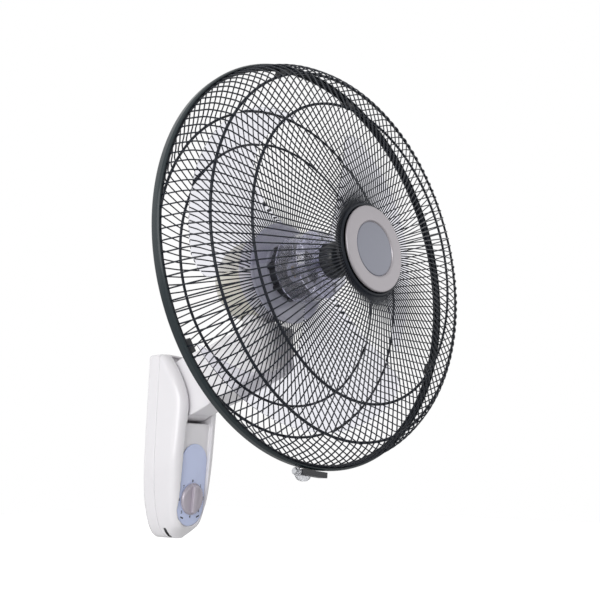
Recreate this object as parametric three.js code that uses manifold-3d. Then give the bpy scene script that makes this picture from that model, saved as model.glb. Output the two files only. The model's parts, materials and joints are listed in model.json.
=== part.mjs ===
// Wall mounted fan with a turning and tilting head, millimetres, +Z up.
// The wall is the plane Y = 0, the fan faces -Y and the origin is the middle of the
// wall bracket's back face. The head stands turned a little to its right, as it
// does when it stops in the middle of a swing.
import * as THREE from 'three';
import { mergeVertices } from 'three/addons/utils/BufferGeometryUtils.js';
import Module from 'manifold-3d';

const wasm = await Module();
wasm.setup();

// ---------------------------------------------------------------- dimensions
const GAP = 0.3; // between pieces that sit on or in each other
const RUNNING = 0.3; // round a shaft or pin that turns
const WELD = 1e-4; // vertices closer than this are one
const DEG = Math.PI / 180;
const PAST = 1; // how far a cut runs past the face that it opens
const FAR = 600; // longer than any piece, for cuts that go right through

// Wall bracket
const BRACKET = { width: 46, height: 140, thick: 2, holeR: 2.4, holeZ: 52 };
const WALL_SCREW = { headR: 4.4, headDeep: 1.6 };

// Body: two shells round the neck's hinge, seen from the front as an upright
// tongue with a round lower end
const BODY = { top: 102, bottom: -134, halfWidth: 38, deep: 66, wall: 2.6, corner: 5 };
const BODY_TAPER_Z = -20; // below this height the sides draw in
const BODY_FOOT = { pullX: 26, pullZ: -92, flat: 3 }; // how full the round lower end is
const BODY_EDGE_R = 12; // rounding of the front edges
const SHELL_SPLIT = 22; // depth from the wall at which the shells part
const BODY_SCREW = { r: 2, headR: 3.6, headDeep: 1.8, bossR: 7, inset: 9, upZ: 90, downZ: -60, long: 9 };
const BACK_WALL_Y = BRACKET.thick + WALL_SCREW.headDeep + 3 * GAP; // clears the wall screws
const SEAT = { z: 30, height: 4 }; // ribs of the back shell that rest on the bracket

// Side view of the body's front: brow, slope to the control panel, chin
const BROW_Y = 29;
const CHEEK = { z: 30, bulge: 58 }; // where the front is deepest, and how high its round reaches
const CHIN = { topY: 58, topZ: -85, midY: 54, midZ: -118, endY: 38 };

// Tilt hinge in the body
const TILT = { y: 38, z: 65, bossR: 27.5, boltR: 4, boltPast: 3, headR: 7, headDeep: 3.4 };
const HINGE_PLATE = { thick: 1.8, r: 13, play: 0.7, backThick: 1.6, side: 1.4 };

// Neck: a deep arm from the hinge to the swivel under the motor
const NECK = { rearHalf: 19.4, frontHalf: 25, wall: 3, coverThick: 2.4, endR: 19 };
const NECK_FLARE = { afterHinge: 38, beforeSwivel: 32 }; // where the sides spread
const NECK_END = 45; // how far the arm reaches past the swivel's axis
const NECK_HEEL = { y: 29, z: -44 }; // lowest corner at the back, from the hinge
const NECK_APRON = { inside: 0.7, sweep: 23, steps: 4 }; // the heel's round, carried on into the body
const NECK_CREST = { y: 6, z: 31.5 }; // where the top face starts, from the hinge
const NECK_CHIN_Z = 9; // lowest corner at the front, above the hinge
const NECK_NOSE_DROP = 6; // fall of the top face past the swivel
const NECK_CHAMBER = { before: 64, past: 36, roofLow: 33, roofHigh: 12 }; // hollow for the wires

// Opening between the cheeks for the neck
const SLOT = {
  halfWidth: NECK.rearHalf + HINGE_PLATE.play + HINGE_PLATE.thick + HINGE_PLATE.side,
  bottom: 10.5,
  topWall: 2.6,
};

// Control panel, set in a shallow channel and facing a little downwards
const PANEL = { halfWidth: 23.6, top: -16, bottom: -118, thick: 1.6, topY: 59, bottomY: 52 };
const CHANNEL = { margin: 1.2, floor: 2.4 };

// Speed knob and its switch, and what else the lower body holds
const KNOB = { r: 19.3, deep: 8, z: -85, grip: 7, gripDeep: 4, taper: 1.6, shaftIn: 3.4 };
const KNOB_SHAFT_R = 3;
const SWITCH = { width: 32, height: 34, deep: 16 };
const TERMINAL = { width: 30, height: 14, deep: 12, z: -20 };
const CAPACITOR = { width: 36, height: 18, deep: 13, z: -46 };
const INLET = { x: -16, y: 31, width: 12, thick: 4.6, deep: 9, wall: 2, slit: 0.8 };

// Head, measured along the blade axis from the rim's middle plane, + forwards
const HEAD_AXIS_Z = 190; // height of the blade axis over the bracket's middle
const HEAD_TURN = -10; // degrees from straight ahead, as the head stands
const SETBACK = 117; // rim plane to the swivel's axis
const RIM = { r: 240, thick: 2.2, half: 6, lip: 1.2, lipDeep: 1.1, crown: 1 };
const RING_TUBE = 2.1;
const RING_PLAY = 0.5; // between a guard's ring and the band
const GUARD_RING = { r: RIM.r - RIM.thick - RING_TUBE - RING_PLAY, tube: RING_TUBE, off: 2.6, lip: 8.5 };
const GUARD_WIRES = 33;
const WIRE_R = 1.25;
const WIRE_SIDES = 3;
const RING_SIDES = 4;
const FRONT_HUB = { r: 51.5, z: 67.6, tube: 2.6 };
// Bends of a guard wire, in from the rim
const FRONT_BEND_HUB = { in: 168, z: 74.3 };
const FRONT_BEND_INNER = { in: 69.2, z: 61.3 };
const FRONT_BEND_OUTER = { in: 27.7, z: 49.6 };
const FRONT_BEND_RIM = { in: 12, z: 29 };
const FRONT_BENDS = [FRONT_BEND_HUB, FRONT_BEND_INNER, FRONT_BEND_OUTER, FRONT_BEND_RIM];
const REAR_BEND_INNER = { in: 74.5, z: -64.5 };
const REAR_BEND_OUTER = { in: 36, z: -52.6 };
const REAR_BEND_RIM = { in: 26.5, z: -36.5 };
const REAR_BENDS = [REAR_BEND_INNER, REAR_BEND_OUTER, REAR_BEND_RIM];
const HOOP_TUBE = 1.7;
const FRONT_HOOPS = { inner: 1, outer: 2 }; // the bends that the hoops lie in
const REAR_HOOPS = { inner: 0, outer: 1 };
const REAR_PLATE = { r: 64, z: -64.2, thick: 2 };
const CAP = { r: 49.4, rim: 3.4, edge: 0.8, side: 1.8, fall: 0.6, dish: 1.8, dishR: 32, groove: 3.5 };
const CAP_LEG = { count: 3, r: 4, at: 28 };
const HUB_PLATE = { r: 54, thick: 3.6, bore: 14 };
const RIM_CLIP = { width: 38, radial: 6, axial: 13, bolt: 1.8, boltPast: 2, headR: 3.6, headDeep: 3 };
const RIM_CLIP_TURN = -6.5; // degrees round the axis from the bottom
const RIM_TAB = { width: 4, reach: 21, deep: 6, axial: 3.4, bossR: 4.6 };

// Motor, from the guard's rear plate backwards
const MOTOR = { frontR: 58, frontDeep: 26, chamfer: 4.5, rearR: 54, rearDeep: 66, tailR: 44, wall: 2.6 };
const MOTOR_TAIL = { button: 8, step: 3, shoulder: 16, full: 30, draw: 3 }; // rounding of the back
const NOSE = { r: 15, long: 15.5 };
const LOCK_NUT = { r: 34, long: 12.5, lobes: 8, lobeR: 3.6 };
const SHAFT = { r: 4, past: 15 }; // past: in front of the blades' hub
const BUSH = { r: 9, long: 7, proud: 1 };
const STATOR = { r: 45.5, bore: 25, long: 23, behind: 10.5 };
const WINDING = { inner: 27, outer: 43, thick: 5.4 };
const ROTOR = { r: 24.4, shorter: 1.5 };
const END_PLATE = { r: 45, thick: 5, behind: 1.2 };

// Swivel: the head turns on an upright post in the neck
const PAN = { y: 160, postR: 5, postDown: 24, bossR: 21, bossRise: 7, bossRoom: 2.5, postTop: 13 };
const FLANGE = { r: 8, thick: 0.9 };
const SWIVEL_BLOCK = { half: 10, high: 8 };

// Swing drive: a pinion in the head rolls round a toothed arc that stands on the neck
const GEAR = { teeth: 20, arcTeeth: 7, thick: 4, tall: 0.75, deep: 1 }; // tall, deep: in modules
const PINION = { teeth: 10, thick: 3, above: 2 }; // above: over the arc's underside
const PAN_RANGE = { middle: 90 }; // degrees, where the pinion stands in the middle of its swing
const TOOTH = { foot: 0.5, tip: 0.22 }; // widths, as shares of the pitch
const SWING_MOTOR = { r: 10.5, thick: 11, above: 1, shaftR: 2.4, shaftUp: 6 };

// Blades
const BLADES = 3;
const HUB = { r: 42, rear: -44, front: 7, wall: 2.6, bossR: 9, bossRear: -38, crown: 30, cheek: 14 };
const BLADE = { tip: 198, thick: 2.4, z: -17, overlap: 4, camber: 5, chordR: 138 };
const BLADE_PITCH = { root: 17, tip: 7.8 };
const BLADE_WIDTH = { root: 62, waist: 14, tip: 104 }; // degrees round the axis
const BLADE_START = 75; // degrees, the straight edge of the first blade
const BLADE_EDGE = { rootLag: 9, tipLead: 3 }; // degrees by which that edge leans
const SPINNER = { r: 21.5, long: 20.4, chamfer: 9, ribs: 8, ribR: 1.6 };

const EDGE_STEPS = 4; // facets of the body's round front edges

// ---------------------------------------------------------------- places
const SWIVEL_Z = HEAD_AXIS_Z - MOTOR.rearR + PAN.bossRise; // top of the neck's boss
const GEAR_Z = SWIVEL_Z + GAP;
const GEAR_TOP = GEAR_Z + GEAR.thick;
const PINION_Z = GEAR_Z + PINION.above;
const PINION_TOP = PINION_Z + PINION.thick;
const SWING_MOTOR_Z = PINION_TOP + SWING_MOTOR.above;
const PINION_BACK = SWIVEL_BLOCK.half + SWING_MOTOR.r + 2 * GAP; // behind the swivel's axis
const GEAR_MODULE = 2 * PINION_BACK / (GEAR.teeth + PINION.teeth);
const NECK_TOP_Z = HEAD_AXIS_Z - MOTOR.frontR - 2; // the motor's front passes over it
const MOTOR_FRONT = REAR_PLATE.z - REAR_PLATE.thick / 2 - GAP;
const MOTOR_SPLIT = MOTOR_FRONT - MOTOR.frontDeep;
const MOTOR_REAR = MOTOR_SPLIT - MOTOR.rearDeep;
const NOSE_FRONT = MOTOR_FRONT + NOSE.long;
const NUT_REAR = REAR_PLATE.z + REAR_PLATE.thick / 2 + GAP;
const STATOR_FRONT = MOTOR_FRONT - STATOR.behind;
const STATOR_REAR = STATOR_FRONT - STATOR.long;
const END_PLATE_FRONT = STATOR_REAR - WINDING.thick - END_PLATE.behind;
const END_PLATE_REAR = END_PLATE_FRONT - END_PLATE.thick;
const SHAFT_FRONT = HUB.front + SHAFT.past;
const CAP_Z = FRONT_HUB.z + FRONT_HUB.tube + GAP;
const HUB_PLATE_Z = FRONT_HUB.z - FRONT_HUB.tube - GAP - HUB_PLATE.thick;
const PANEL_BACK = -PANEL.thick - GAP; // where the channel's floor lies, behind the panel's face

// ---------------------------------------------------------------- finishes
const finish = (color, roughness, metalness = 0) =>
  new THREE.MeshStandardMaterial({ color, roughness, metalness });
const WHITE = finish(0xeceaf0, 0.28);
const PALE_LILAC = finish(0xb9bfe6, 0.35);
const PEARL = finish(0xcbc3c9, 0.35, 0.2);
const WIRE_BLACK = finish(0x12161c, 0.3, 0.2);
const BLACK_PLASTIC = finish(0x0d0f13, 0.35);
const CREAM = finish(0xd9d6cb, 0.4);
const SILVER = finish(0xb9b6ba, 0.3, 0.6);
const STEEL = finish(0x9a9da1, 0.35, 1);
const COPPER = finish(0xa4622d, 0.4, 0.9);
const CAST = finish(0x8c8f94, 0.55, 0.8);
const BRONZE = finish(0xa77b42, 0.45, 0.9);
const SMOKE = finish(0x9a9bb0, 0.12);
SMOKE.transparent = true;
SMOKE.opacity = 0.4;
const CLEAR_TAB = finish(0xe6e8ec, 0.2);
const SWITCH_GREY = finish(0x3b3d42, 0.5);

// ---------------------------------------------------------------- helpers
const polar = (r, degrees) => [r * Math.cos(degrees * DEG), r * Math.sin(degrees * DEG)];
const lerp = THREE.MathUtils.lerp;

function solid(geometry) {
  const bare = geometry.clone();
  bare.deleteAttribute('normal');
  bare.deleteAttribute('uv');
  const welded = mergeVertices(bare, WELD);
  return new wasm.Manifold(new wasm.Mesh({
    numProp: 3,
    vertProperties: new Float32Array(welded.attributes.position.array),
    triVerts: new Uint32Array(welded.index.array),
  }));
}

function geometryOf(manifold) {
  const mesh = manifold.getMesh();
  const geometry = new THREE.BufferGeometry();
  geometry.setAttribute('position', new THREE.BufferAttribute(mesh.vertProperties, 3));
  geometry.setIndex(new THREE.BufferAttribute(mesh.triVerts, 1));
  return geometry;
}

function piece(name, manifold, material) {
  const mesh = new THREE.Mesh(geometryOf(manifold), material);
  mesh.name = name;
  return mesh;
}

function turned(geometry, axis, radians) {
  return geometry.applyMatrix4(new THREE.Matrix4().makeRotationAxis(axis, radians));
}

const X_AXIS = new THREE.Vector3(1, 0, 0);
const Z_AXIS = new THREE.Vector3(0, 0, 1);

const shapeOf = (points) => new THREE.Shape(points.map(([x, y]) => new THREE.Vector2(x, y)));
const discShape = (r, z = 0) => new THREE.Shape().absarc(0, z, r, 0, 2 * Math.PI, false);

// A flat outline raised along +Z from one height to another.
function raised(shape, from, to, options = {}) {
  const geometry = new THREE.ExtrudeGeometry(shape, {
    depth: to - from, bevelEnabled: false, curveSegments: 6, ...options,
  });
  return geometry.translate(0, 0, from);
}

// An outline in X and Z, carried from the wall side (near) to the front (far).
function fromWall(shape, near, far, options = {}) {
  return solid(turned(raised(shape, near, far, options), X_AXIS, Math.PI / 2));
}

// An outline given as (distance from the wall, Z), as wide as 2 * half in X.
function acrossBody(points, half) {
  const outline = shapeOf(points.map(([y, z]) => [z, y]));
  const geometry = raised(outline, -half, half);
  const place = new THREE.Matrix4().set(0, 0, 1, 0, 0, -1, 0, 0, 1, 0, 0, 0, 0, 0, 0, 1);
  return solid(geometry.applyMatrix4(place));
}

function box(x0, x1, y0, y1, z0, z1) {
  const geometry = new THREE.BoxGeometry(x1 - x0, y1 - y0, z1 - z0);
  return solid(geometry.translate((x0 + x1) / 2, (y0 + y1) / 2, (z0 + z1) / 2));
}

// A round bar along Z between two heights.
function bar(r, from, to, sides = 20, x = 0, y = 0) {
  const geometry = turned(new THREE.CylinderGeometry(r, r, to - from, sides), X_AXIS, Math.PI / 2);
  return solid(geometry.translate(x, y, (from + to) / 2));
}

// A round bar along X.
function crossBar(r, from, to, y, z, sides = 20) {
  const geometry = turned(new THREE.CylinderGeometry(r, r, to - from, sides), Z_AXIS, Math.PI / 2);
  return solid(geometry.translate((from + to) / 2, y, z));
}

// A turned piece: radius and height pairs, closed on the axis or on itself.
function spun(profile, sides = 32) {
  const points = profile.map(([r, z]) => new THREE.Vector2(r, z));
  return solid(turned(new THREE.LatheGeometry(points, sides), X_AXIS, Math.PI / 2));
}

function ring(inner, outer, from, to, sides = 32) {
  return spun([[inner, from], [outer, from], [outer, to], [inner, to], [inner, from]], sides);
}

function union(parts) {
  return parts.reduce((whole, part) => whole.add(part));
}

// A body through level rings of points, from the top ring down, with flat ends.
function stacked(rows) {
  const around = rows[0].length;
  const index = [];
  for (let i = 0; i + 1 < rows.length; i += 1) {
    for (let j = 0; j < around; j += 1) {
      const k = (j + 1) % around;
      const [a, b] = [i * around + j, i * around + k];
      index.push(a, b + around, a + around, a, b, b + around);
    }
  }
  const last = (rows.length - 1) * around;
  for (let j = 1; j + 1 < around; j += 1) {
    index.push(0, j + 1, j);
    index.push(last, last + j, last + j + 1);
  }
  const geometry = new THREE.BufferGeometry();
  geometry.setAttribute('position', new THREE.Float32BufferAttribute(rows.flat(2), 3));
  geometry.setIndex(index);
  return solid(geometry);
}

// ---------------------------------------------------------------- body
const flat = (curve, steps) => curve.getPoints(steps).map((p) => [p.x, p.y]);
const at2 = (x, y) => new THREE.Vector2(x, y);

// The body's edge seen from the front, as half widths and heights from the top down.
const bodySide = [
  ...flat(new THREE.QuadraticBezierCurve(at2(BODY.halfWidth - BODY.corner, BODY.top),
    at2(BODY.halfWidth, BODY.top), at2(BODY.halfWidth, BODY.top - BODY.corner)), 3),
  ...flat(new THREE.CubicBezierCurve(at2(BODY.halfWidth, BODY_TAPER_Z),
    at2(BODY.halfWidth, BODY_FOOT.pullZ), at2(BODY_FOOT.pullX, BODY.bottom),
    at2(BODY_FOOT.flat, BODY.bottom)), 12),
];

// Its front seen from the side, as distances from the wall and heights.
const bodyFront = [
  ...flat(new THREE.QuadraticBezierCurve(at2(BROW_Y, BODY.top), at2(BODY.deep, CHEEK.bulge),
    at2(BODY.deep, CHEEK.z)), 7),
  [CHIN.topY, CHIN.topZ],
  [CHIN.midY, CHIN.midZ],
  [CHIN.endY, BODY.bottom],
];

// The first number of a list of pairs at a height between two of them.
function readAt(pairs, z) {
  const i = Math.max(1, pairs.findIndex((pair) => pair[1] <= z + WELD));
  const [above, below] = [pairs[i - 1], pairs[i]];
  const share = (above[1] - z) / Math.max(above[1] - below[1], WELD);
  return lerp(above[0], below[0], THREE.MathUtils.clamp(share, 0, 1));
}

// The body's outside, or a skin that lies inside it by an inset, built up from
// level sections with round front corners, from a distance behind the wall.
function bodyForm(inset = 0, behind = 0) {
  const [low, high] = [BODY.bottom + inset, BODY.top - inset];
  const heights = [high, low, ...bodySide.map((p) => p[1]), ...bodyFront.map((p) => p[1])]
    .filter((z) => z >= low && z <= high)
    .sort((p, q) => q - p)
    .filter((z, i, all) => i === 0 || all[i - 1] - z > PAST / 2);
  heights[heights.length - 1] = low;
  const rows = heights.map((z) => {
    const half = Math.max(readAt(bodySide, z) - inset, BODY_FOOT.flat);
    const front = readAt(bodyFront, z) - inset;
    const r = Math.min(BODY_EDGE_R - inset, half - PAST, front / 2);
    const side = Array.from({ length: EDGE_STEPS + 1 }, (_, i) => {
      const [dx, dy] = polar(r, i * 90 / EDGE_STEPS);
      return [half - r + dx, front - r + dy];
    });
    const right = [[half, -behind], ...side];
    return [...right, ...right.map(([x, y]) => [-x, y]).reverse()].map(([x, y]) => [x, -y, z]);
  });
  return stacked(rows);
}

const PANEL_TILT = Math.atan((PANEL.topY - PANEL.bottomY) / (PANEL.top - PANEL.bottom));
const PANEL_MID = { y: (PANEL.topY + PANEL.bottomY) / 2, z: (PANEL.top + PANEL.bottom) / 2 };
const PANEL_HALF = (PANEL.top - PANEL.bottom) / 2 / Math.cos(PANEL_TILT);
const KNOB_UP = (KNOB.z - PANEL_MID.z) / Math.cos(PANEL_TILT);

// The panel's own plane: its outside face is at depth 0, + is outwards.
function onPanel(manifold) {
  return manifold
    .rotate([PANEL_TILT / DEG, 0, 0])
    .translate([0, -PANEL_MID.y, PANEL_MID.z]);
}

function panelShape(margin, openTop = 0) {
  const half = PANEL.halfWidth + margin;
  const straight = PANEL_HALF - PANEL.halfWidth;
  const shape = new THREE.Shape();
  shape.moveTo(half, -straight);
  shape.lineTo(half, straight + openTop);
  if (openTop) shape.lineTo(-half, straight + openTop);
  else shape.absarc(0, straight, half, 0, Math.PI, false);
  shape.lineTo(-half, -straight);
  shape.absarc(0, -straight, half, Math.PI, 2 * Math.PI, false);
  return shape;
}

// An outline lying on the panel, from one depth to another.
const onPanelPlate = (shape, from, to) => onPanel(fromWall(shape, from, to, { curveSegments: 8 }));

const bodyScrewPlaces = [-1, 1].flatMap((side) => [BODY_SCREW.upZ, BODY_SCREW.downZ]
  .map((z) => [side * (BODY.halfWidth - BODY_SCREW.inset), z]));

// Round bars from the wall side to the front, at the body's screws.
const atBodyScrews = (r, near, far) => union(bodyScrewPlaces.map(([x, z]) =>
  fromWall(discShape(r), near, far).translate([x, 0, z])));

function buildBackShell(envelope) {
  const inner = bodyForm(BODY.wall, PAST);
  const webFront = BACK_WALL_Y + BODY.wall;
  const block = envelope.intersect(box(-FAR, FAR, -SHELL_SPLIT, 0, -FAR, FAR));
  const seats = union([-1, 1].map((end) => box(-BRACKET.width / 2, BRACKET.width / 2,
    -BACK_WALL_Y - PAST, -BRACKET.thick - GAP, end * SEAT.z, end * SEAT.z + SEAT.height)));
  return block
    .subtract(inner.intersect(box(-FAR, FAR, -FAR, -webFront, -FAR, FAR)))
    .subtract(inner.intersect(box(-FAR, FAR, -BACK_WALL_Y, PAST, -FAR, FAR)))
    .add(seats)
    .add(atBodyScrews(BODY_SCREW.bossR, BACK_WALL_Y, SHELL_SPLIT).intersect(block))
    .subtract(atBodyScrews(BODY_SCREW.r + GAP, 0, SHELL_SPLIT + PAST));
}

function buildFrontShell(envelope) {
  const from = SHELL_SPLIT + GAP;
  const block = envelope.intersect(box(-FAR, FAR, -FAR, -from, -FAR, FAR));
  const slot = box(-SLOT.halfWidth, SLOT.halfWidth, -FAR, 0, SLOT.bottom, BODY.top - SLOT.topWall);
  const overSlot = box(-SLOT.halfWidth, SLOT.halfWidth, -FAR, -BROW_Y, SLOT.bottom, FAR);
  const channelUp = SLOT.bottom - PANEL.top + PANEL.halfWidth;
  const channel = onPanelPlate(panelShape(CHANNEL.margin, channelUp), PANEL_BACK, BODY.deep);
  // hollow of a cheek, round the tilt bolt's head or nut
  const cheekPocket = (side) => {
    const near = SLOT.halfWidth + BODY.wall;
    const far = BODY.halfWidth - BODY.wall;
    return box(side > 0 ? near : -far, side > 0 ? far : -near, -TILT.y - TILT.headR - PAST, 0,
      SLOT.bottom + BODY.wall, BODY_SCREW.upZ - BODY_SCREW.bossR);
  };
  const lowRoom = bodyForm(BODY.wall, PAST)
    .intersect(box(-FAR, FAR, -FAR, 0, -FAR, SLOT.bottom - BODY.wall))
    .subtract(onPanelPlate(panelShape(CHANNEL.margin + BODY.wall, channelUp),
      PANEL_BACK - CHANNEL.floor, BODY.deep));
  const shaftHole = onPanel(fromWall(discShape(KNOB_SHAFT_R + RUNNING, KNOB_UP), -BODY.deep, PAST));
  const boltHole = crossBar(TILT.boltR + GAP, -BODY.halfWidth + BODY.wall,
    BODY.halfWidth - BODY.wall, -TILT.y, TILT.z);
  return block
    .subtract(slot).subtract(overSlot).subtract(channel).subtract(lowRoom)
    .subtract(cheekPocket(1)).subtract(cheekPocket(-1))
    .add(atBodyScrews(BODY_SCREW.bossR, from, from + BODY_SCREW.long + BODY.wall).intersect(block))
    .subtract(shaftHole).subtract(boltHole)
    .subtract(inletBlock(0, BODY.bottom / 2))
    .subtract(atBodyScrews(BODY_SCREW.r + GAP, SHELL_SPLIT, SHELL_SPLIT + BODY_SCREW.long));
}

// The place of the cord's inlet in the underside, drawn in by a margin.
function inletBlock(margin, top) {
  const half = { x: INLET.width / 2 - margin, y: INLET.thick / 2 - margin };
  return box(INLET.x - half.x, INLET.x + half.x, -INLET.y - half.y, -INLET.y + half.y, -FAR, top);
}

function buildBody() {
  const group = new THREE.Group();
  const envelope = bodyForm();
  group.add(piece('body_back_shell', buildBackShell(envelope), WHITE));
  group.add(piece('body_front_shell', buildFrontShell(envelope), WHITE));

  const screwFace = BACK_WALL_Y - GAP;
  bodyScrewPlaces.forEach(([x, z], i) => {
    const shank = fromWall(discShape(BODY_SCREW.r), screwFace - BODY_SCREW.headDeep,
      SHELL_SPLIT + BODY_SCREW.long - GAP);
    const head = fromWall(discShape(BODY_SCREW.headR), screwFace - BODY_SCREW.headDeep, screwFace);
    group.add(piece(`body_screw_${i + 1}`, shank.add(head).translate([x, 0, z]), STEEL));
  });

  const slit = box(INLET.x - INLET.width / 2 + INLET.wall, INLET.x + INLET.width / 2 - INLET.wall,
    -INLET.y - INLET.slit, -INLET.y + INLET.slit, -FAR, 0);
  const inlet = envelope
    .intersect(inletBlock(GAP, BODY.bottom + INLET.deep + BODY.corner))
    .subtract(slit);
  group.add(piece('cord_inlet', inlet, BLACK_PLASTIC));
  return group;
}

function buildBracket() {
  const group = new THREE.Group();
  const hole = union([-1, 1].map((end) => fromWall(discShape(BRACKET.holeR), -PAST,
    BRACKET.thick + PAST).translate([0, 0, end * BRACKET.holeZ])));
  const bracket = box(-BRACKET.width / 2, BRACKET.width / 2, -BRACKET.thick, 0,
    -BRACKET.height / 2, BRACKET.height / 2).subtract(hole);
  group.add(piece('wall_bracket', bracket, STEEL));
  const headFrom = BRACKET.thick + GAP;
  for (const [name, end] of [['wall_screw_upper', 1], ['wall_screw_lower', -1]]) {
    const shank = fromWall(discShape(BRACKET.holeR - GAP), 0, headFrom + WALL_SCREW.headDeep / 2);
    const head = fromWall(discShape(WALL_SCREW.headR), headFrom, headFrom + WALL_SCREW.headDeep);
    group.add(piece(name, shank.add(head).translate([0, 0, end * BRACKET.holeZ]), STEEL));
  }
  return group;
}

function buildPanel() {
  const group = new THREE.Group();
  const shaftHole = fromWall(discShape(KNOB_SHAFT_R + RUNNING, KNOB_UP), -FAR, FAR);
  const plate = fromWall(panelShape(0), -PANEL.thick, 0, { curveSegments: 8 }).subtract(shaftHole);
  group.add(piece('control_plate', onPanel(plate), PALE_LILAC));

  const collar = KNOB.deep - KNOB.gripDeep;
  const body = new THREE.CylinderGeometry(KNOB.r, KNOB.r - KNOB.taper, collar, 32)
    .translate(0, -GAP - collar / 2, KNOB_UP);
  const grip = box(-KNOB.grip / 2, KNOB.grip / 2, -GAP - KNOB.deep, -GAP - KNOB.taper,
    KNOB_UP - KNOB.r + KNOB.taper, KNOB_UP + KNOB.r - KNOB.taper);
  const shaftEnd = KNOB.shaftIn;
  const socket = fromWall(discShape(KNOB_SHAFT_R + GAP, KNOB_UP), -PAST, shaftEnd + GAP);
  group.add(piece('speed_knob', onPanel(solid(body).add(grip).subtract(socket)), PEARL));

  const switchFront = PANEL_BACK - CHANNEL.floor - GAP;
  const shaft = fromWall(discShape(KNOB_SHAFT_R, KNOB_UP), switchFront - SWITCH.deep / 2, shaftEnd);
  group.add(piece('knob_shaft', onPanel(shaft), STEEL));
  const switchBody = box(-SWITCH.width / 2, SWITCH.width / 2, -switchFront, SWITCH.deep - switchFront,
    KNOB_UP - SWITCH.height / 2, KNOB_UP + SWITCH.height / 2).subtract(shaftHole);
  group.add(piece('speed_switch', onPanel(switchBody), SWITCH_GREY));

  const seat = BACK_WALL_Y + BODY.wall + GAP;
  for (const [name, part, material] of [
    ['terminal_block', TERMINAL, CREAM], ['capacitor', CAPACITOR, SWITCH_GREY],
  ]) {
    group.add(piece(name, box(-part.width / 2, part.width / 2, -seat - part.deep, -seat,
      part.z - part.height / 2, part.z + part.height / 2), material));
  }
  return group;
}

// ---------------------------------------------------------------- tilt hinge
function buildHinge() {
  const group = new THREE.Group();
  const inside = NECK.rearHalf + HINGE_PLATE.play;
  const outside = inside + HINGE_PLATE.thick;
  const back = BACK_WALL_Y + BODY.wall + GAP;
  const [low, high] = [TILT.z - HINGE_PLATE.r, TILT.z + HINGE_PLATE.r];
  const ear = (x0, x1) => box(x0, x1, -TILT.y, -back, low, high)
    .add(crossBar(HINGE_PLATE.r, x0, x1, -TILT.y, TILT.z, 24));
  const plate = ear(-outside, -inside).add(ear(inside, outside))
    .add(box(-outside, outside, -back - HINGE_PLATE.backThick, -back, low, high))
    .subtract(crossBar(TILT.boltR + GAP, -FAR, FAR, -TILT.y, TILT.z));
  group.add(piece('hinge_bracket', plate, STEEL));

  const headFrom = SLOT.halfWidth + BODY.wall + GAP;
  const headTo = headFrom + TILT.headDeep;
  const bolt = crossBar(TILT.boltR, -headFrom - PAST, headTo + TILT.boltPast, -TILT.y, TILT.z)
    .add(crossBar(TILT.headR, -headTo, -headFrom, -TILT.y, TILT.z, 6));
  group.add(piece('tilt_bolt', bolt, STEEL));
  const nut = crossBar(TILT.headR, headFrom, headTo, -TILT.y, TILT.z, 6)
    .subtract(crossBar(TILT.boltR + GAP, 0, FAR, -TILT.y, TILT.z));
  group.add(piece('tilt_nut', nut, STEEL));
  return group;
}

// ---------------------------------------------------------------- neck
const neckHeel = [TILT.y + NECK_HEEL.y, TILT.z + NECK_HEEL.z];
const neckChin = [PAN.y + NECK_END + 2 * PAST, TILT.z + NECK_CHIN_Z];

function neckSide() {
  const boss = [];
  for (let angle = 280; angle >= 100; angle -= 20) {
    const [dy, dz] = polar(TILT.bossR, angle);
    boss.push([TILT.y + dy, TILT.z + dz]);
  }
  const apron = [];
  const apronR = Math.hypot(NECK_HEEL.y, NECK_HEEL.z) - NECK_APRON.inside;
  const heelAngle = THREE.MathUtils.radToDeg(Math.atan2(NECK_HEEL.z, NECK_HEEL.y));
  for (let i = 1; i <= NECK_APRON.steps; i += 1) {
    const [dy, dz] = polar(apronR, heelAngle - i * NECK_APRON.sweep / NECK_APRON.steps);
    apron.push([TILT.y + dy, TILT.z + dz]);
  }
  const crest = [TILT.y + NECK_CREST.y, TILT.z + NECK_CREST.z];
  const topFront = [PAN.y + PAN.bossR, NECK_TOP_Z];
  const nose = [PAN.y + NECK_END, NECK_TOP_Z - NECK_NOSE_DROP];
  return [neckHeel, ...apron, ...boss, crest, topFront, nose, neckChin];
}

// The arm seen from above, drawn in at its sides and front by a margin.
function neckPlan(margin = 0) {
  const rearHalf = NECK.rearHalf - margin;
  const frontHalf = NECK.frontHalf - margin;
  const end = PAN.y + NECK_END - margin;
  const endR = NECK.endR - margin;
  const flareFrom = TILT.y + NECK_FLARE.afterHinge;
  const flareTo = PAN.y - NECK_FLARE.beforeSwivel;
  const shape = new THREE.Shape();
  shape.moveTo(-rearHalf, 0);
  shape.lineTo(-rearHalf, -flareFrom);
  shape.lineTo(-frontHalf, -flareTo);
  shape.lineTo(-frontHalf, endR - end);
  shape.quadraticCurveTo(-frontHalf, -end, endR - frontHalf, -end);
  shape.lineTo(frontHalf - endR, -end);
  shape.quadraticCurveTo(frontHalf, -end, frontHalf, endR - end);
  shape.lineTo(frontHalf, -flareTo);
  shape.lineTo(rearHalf, -flareFrom);
  shape.lineTo(rearHalf, 0);
  return solid(raised(shape, -FAR, FAR));
}

// A band along the arm's underside, between two heights over its slope.
function neckBand(low, high, from, to) {
  const slope = (neckChin[1] - neckHeel[1]) / (neckChin[0] - neckHeel[0]);
  const at = (y, lift) => [y, neckHeel[1] + slope * (y - neckHeel[0]) + lift];
  return acrossBody([at(from, low), at(to, low), at(to, high), at(from, high)], NECK.frontHalf);
}

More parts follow.
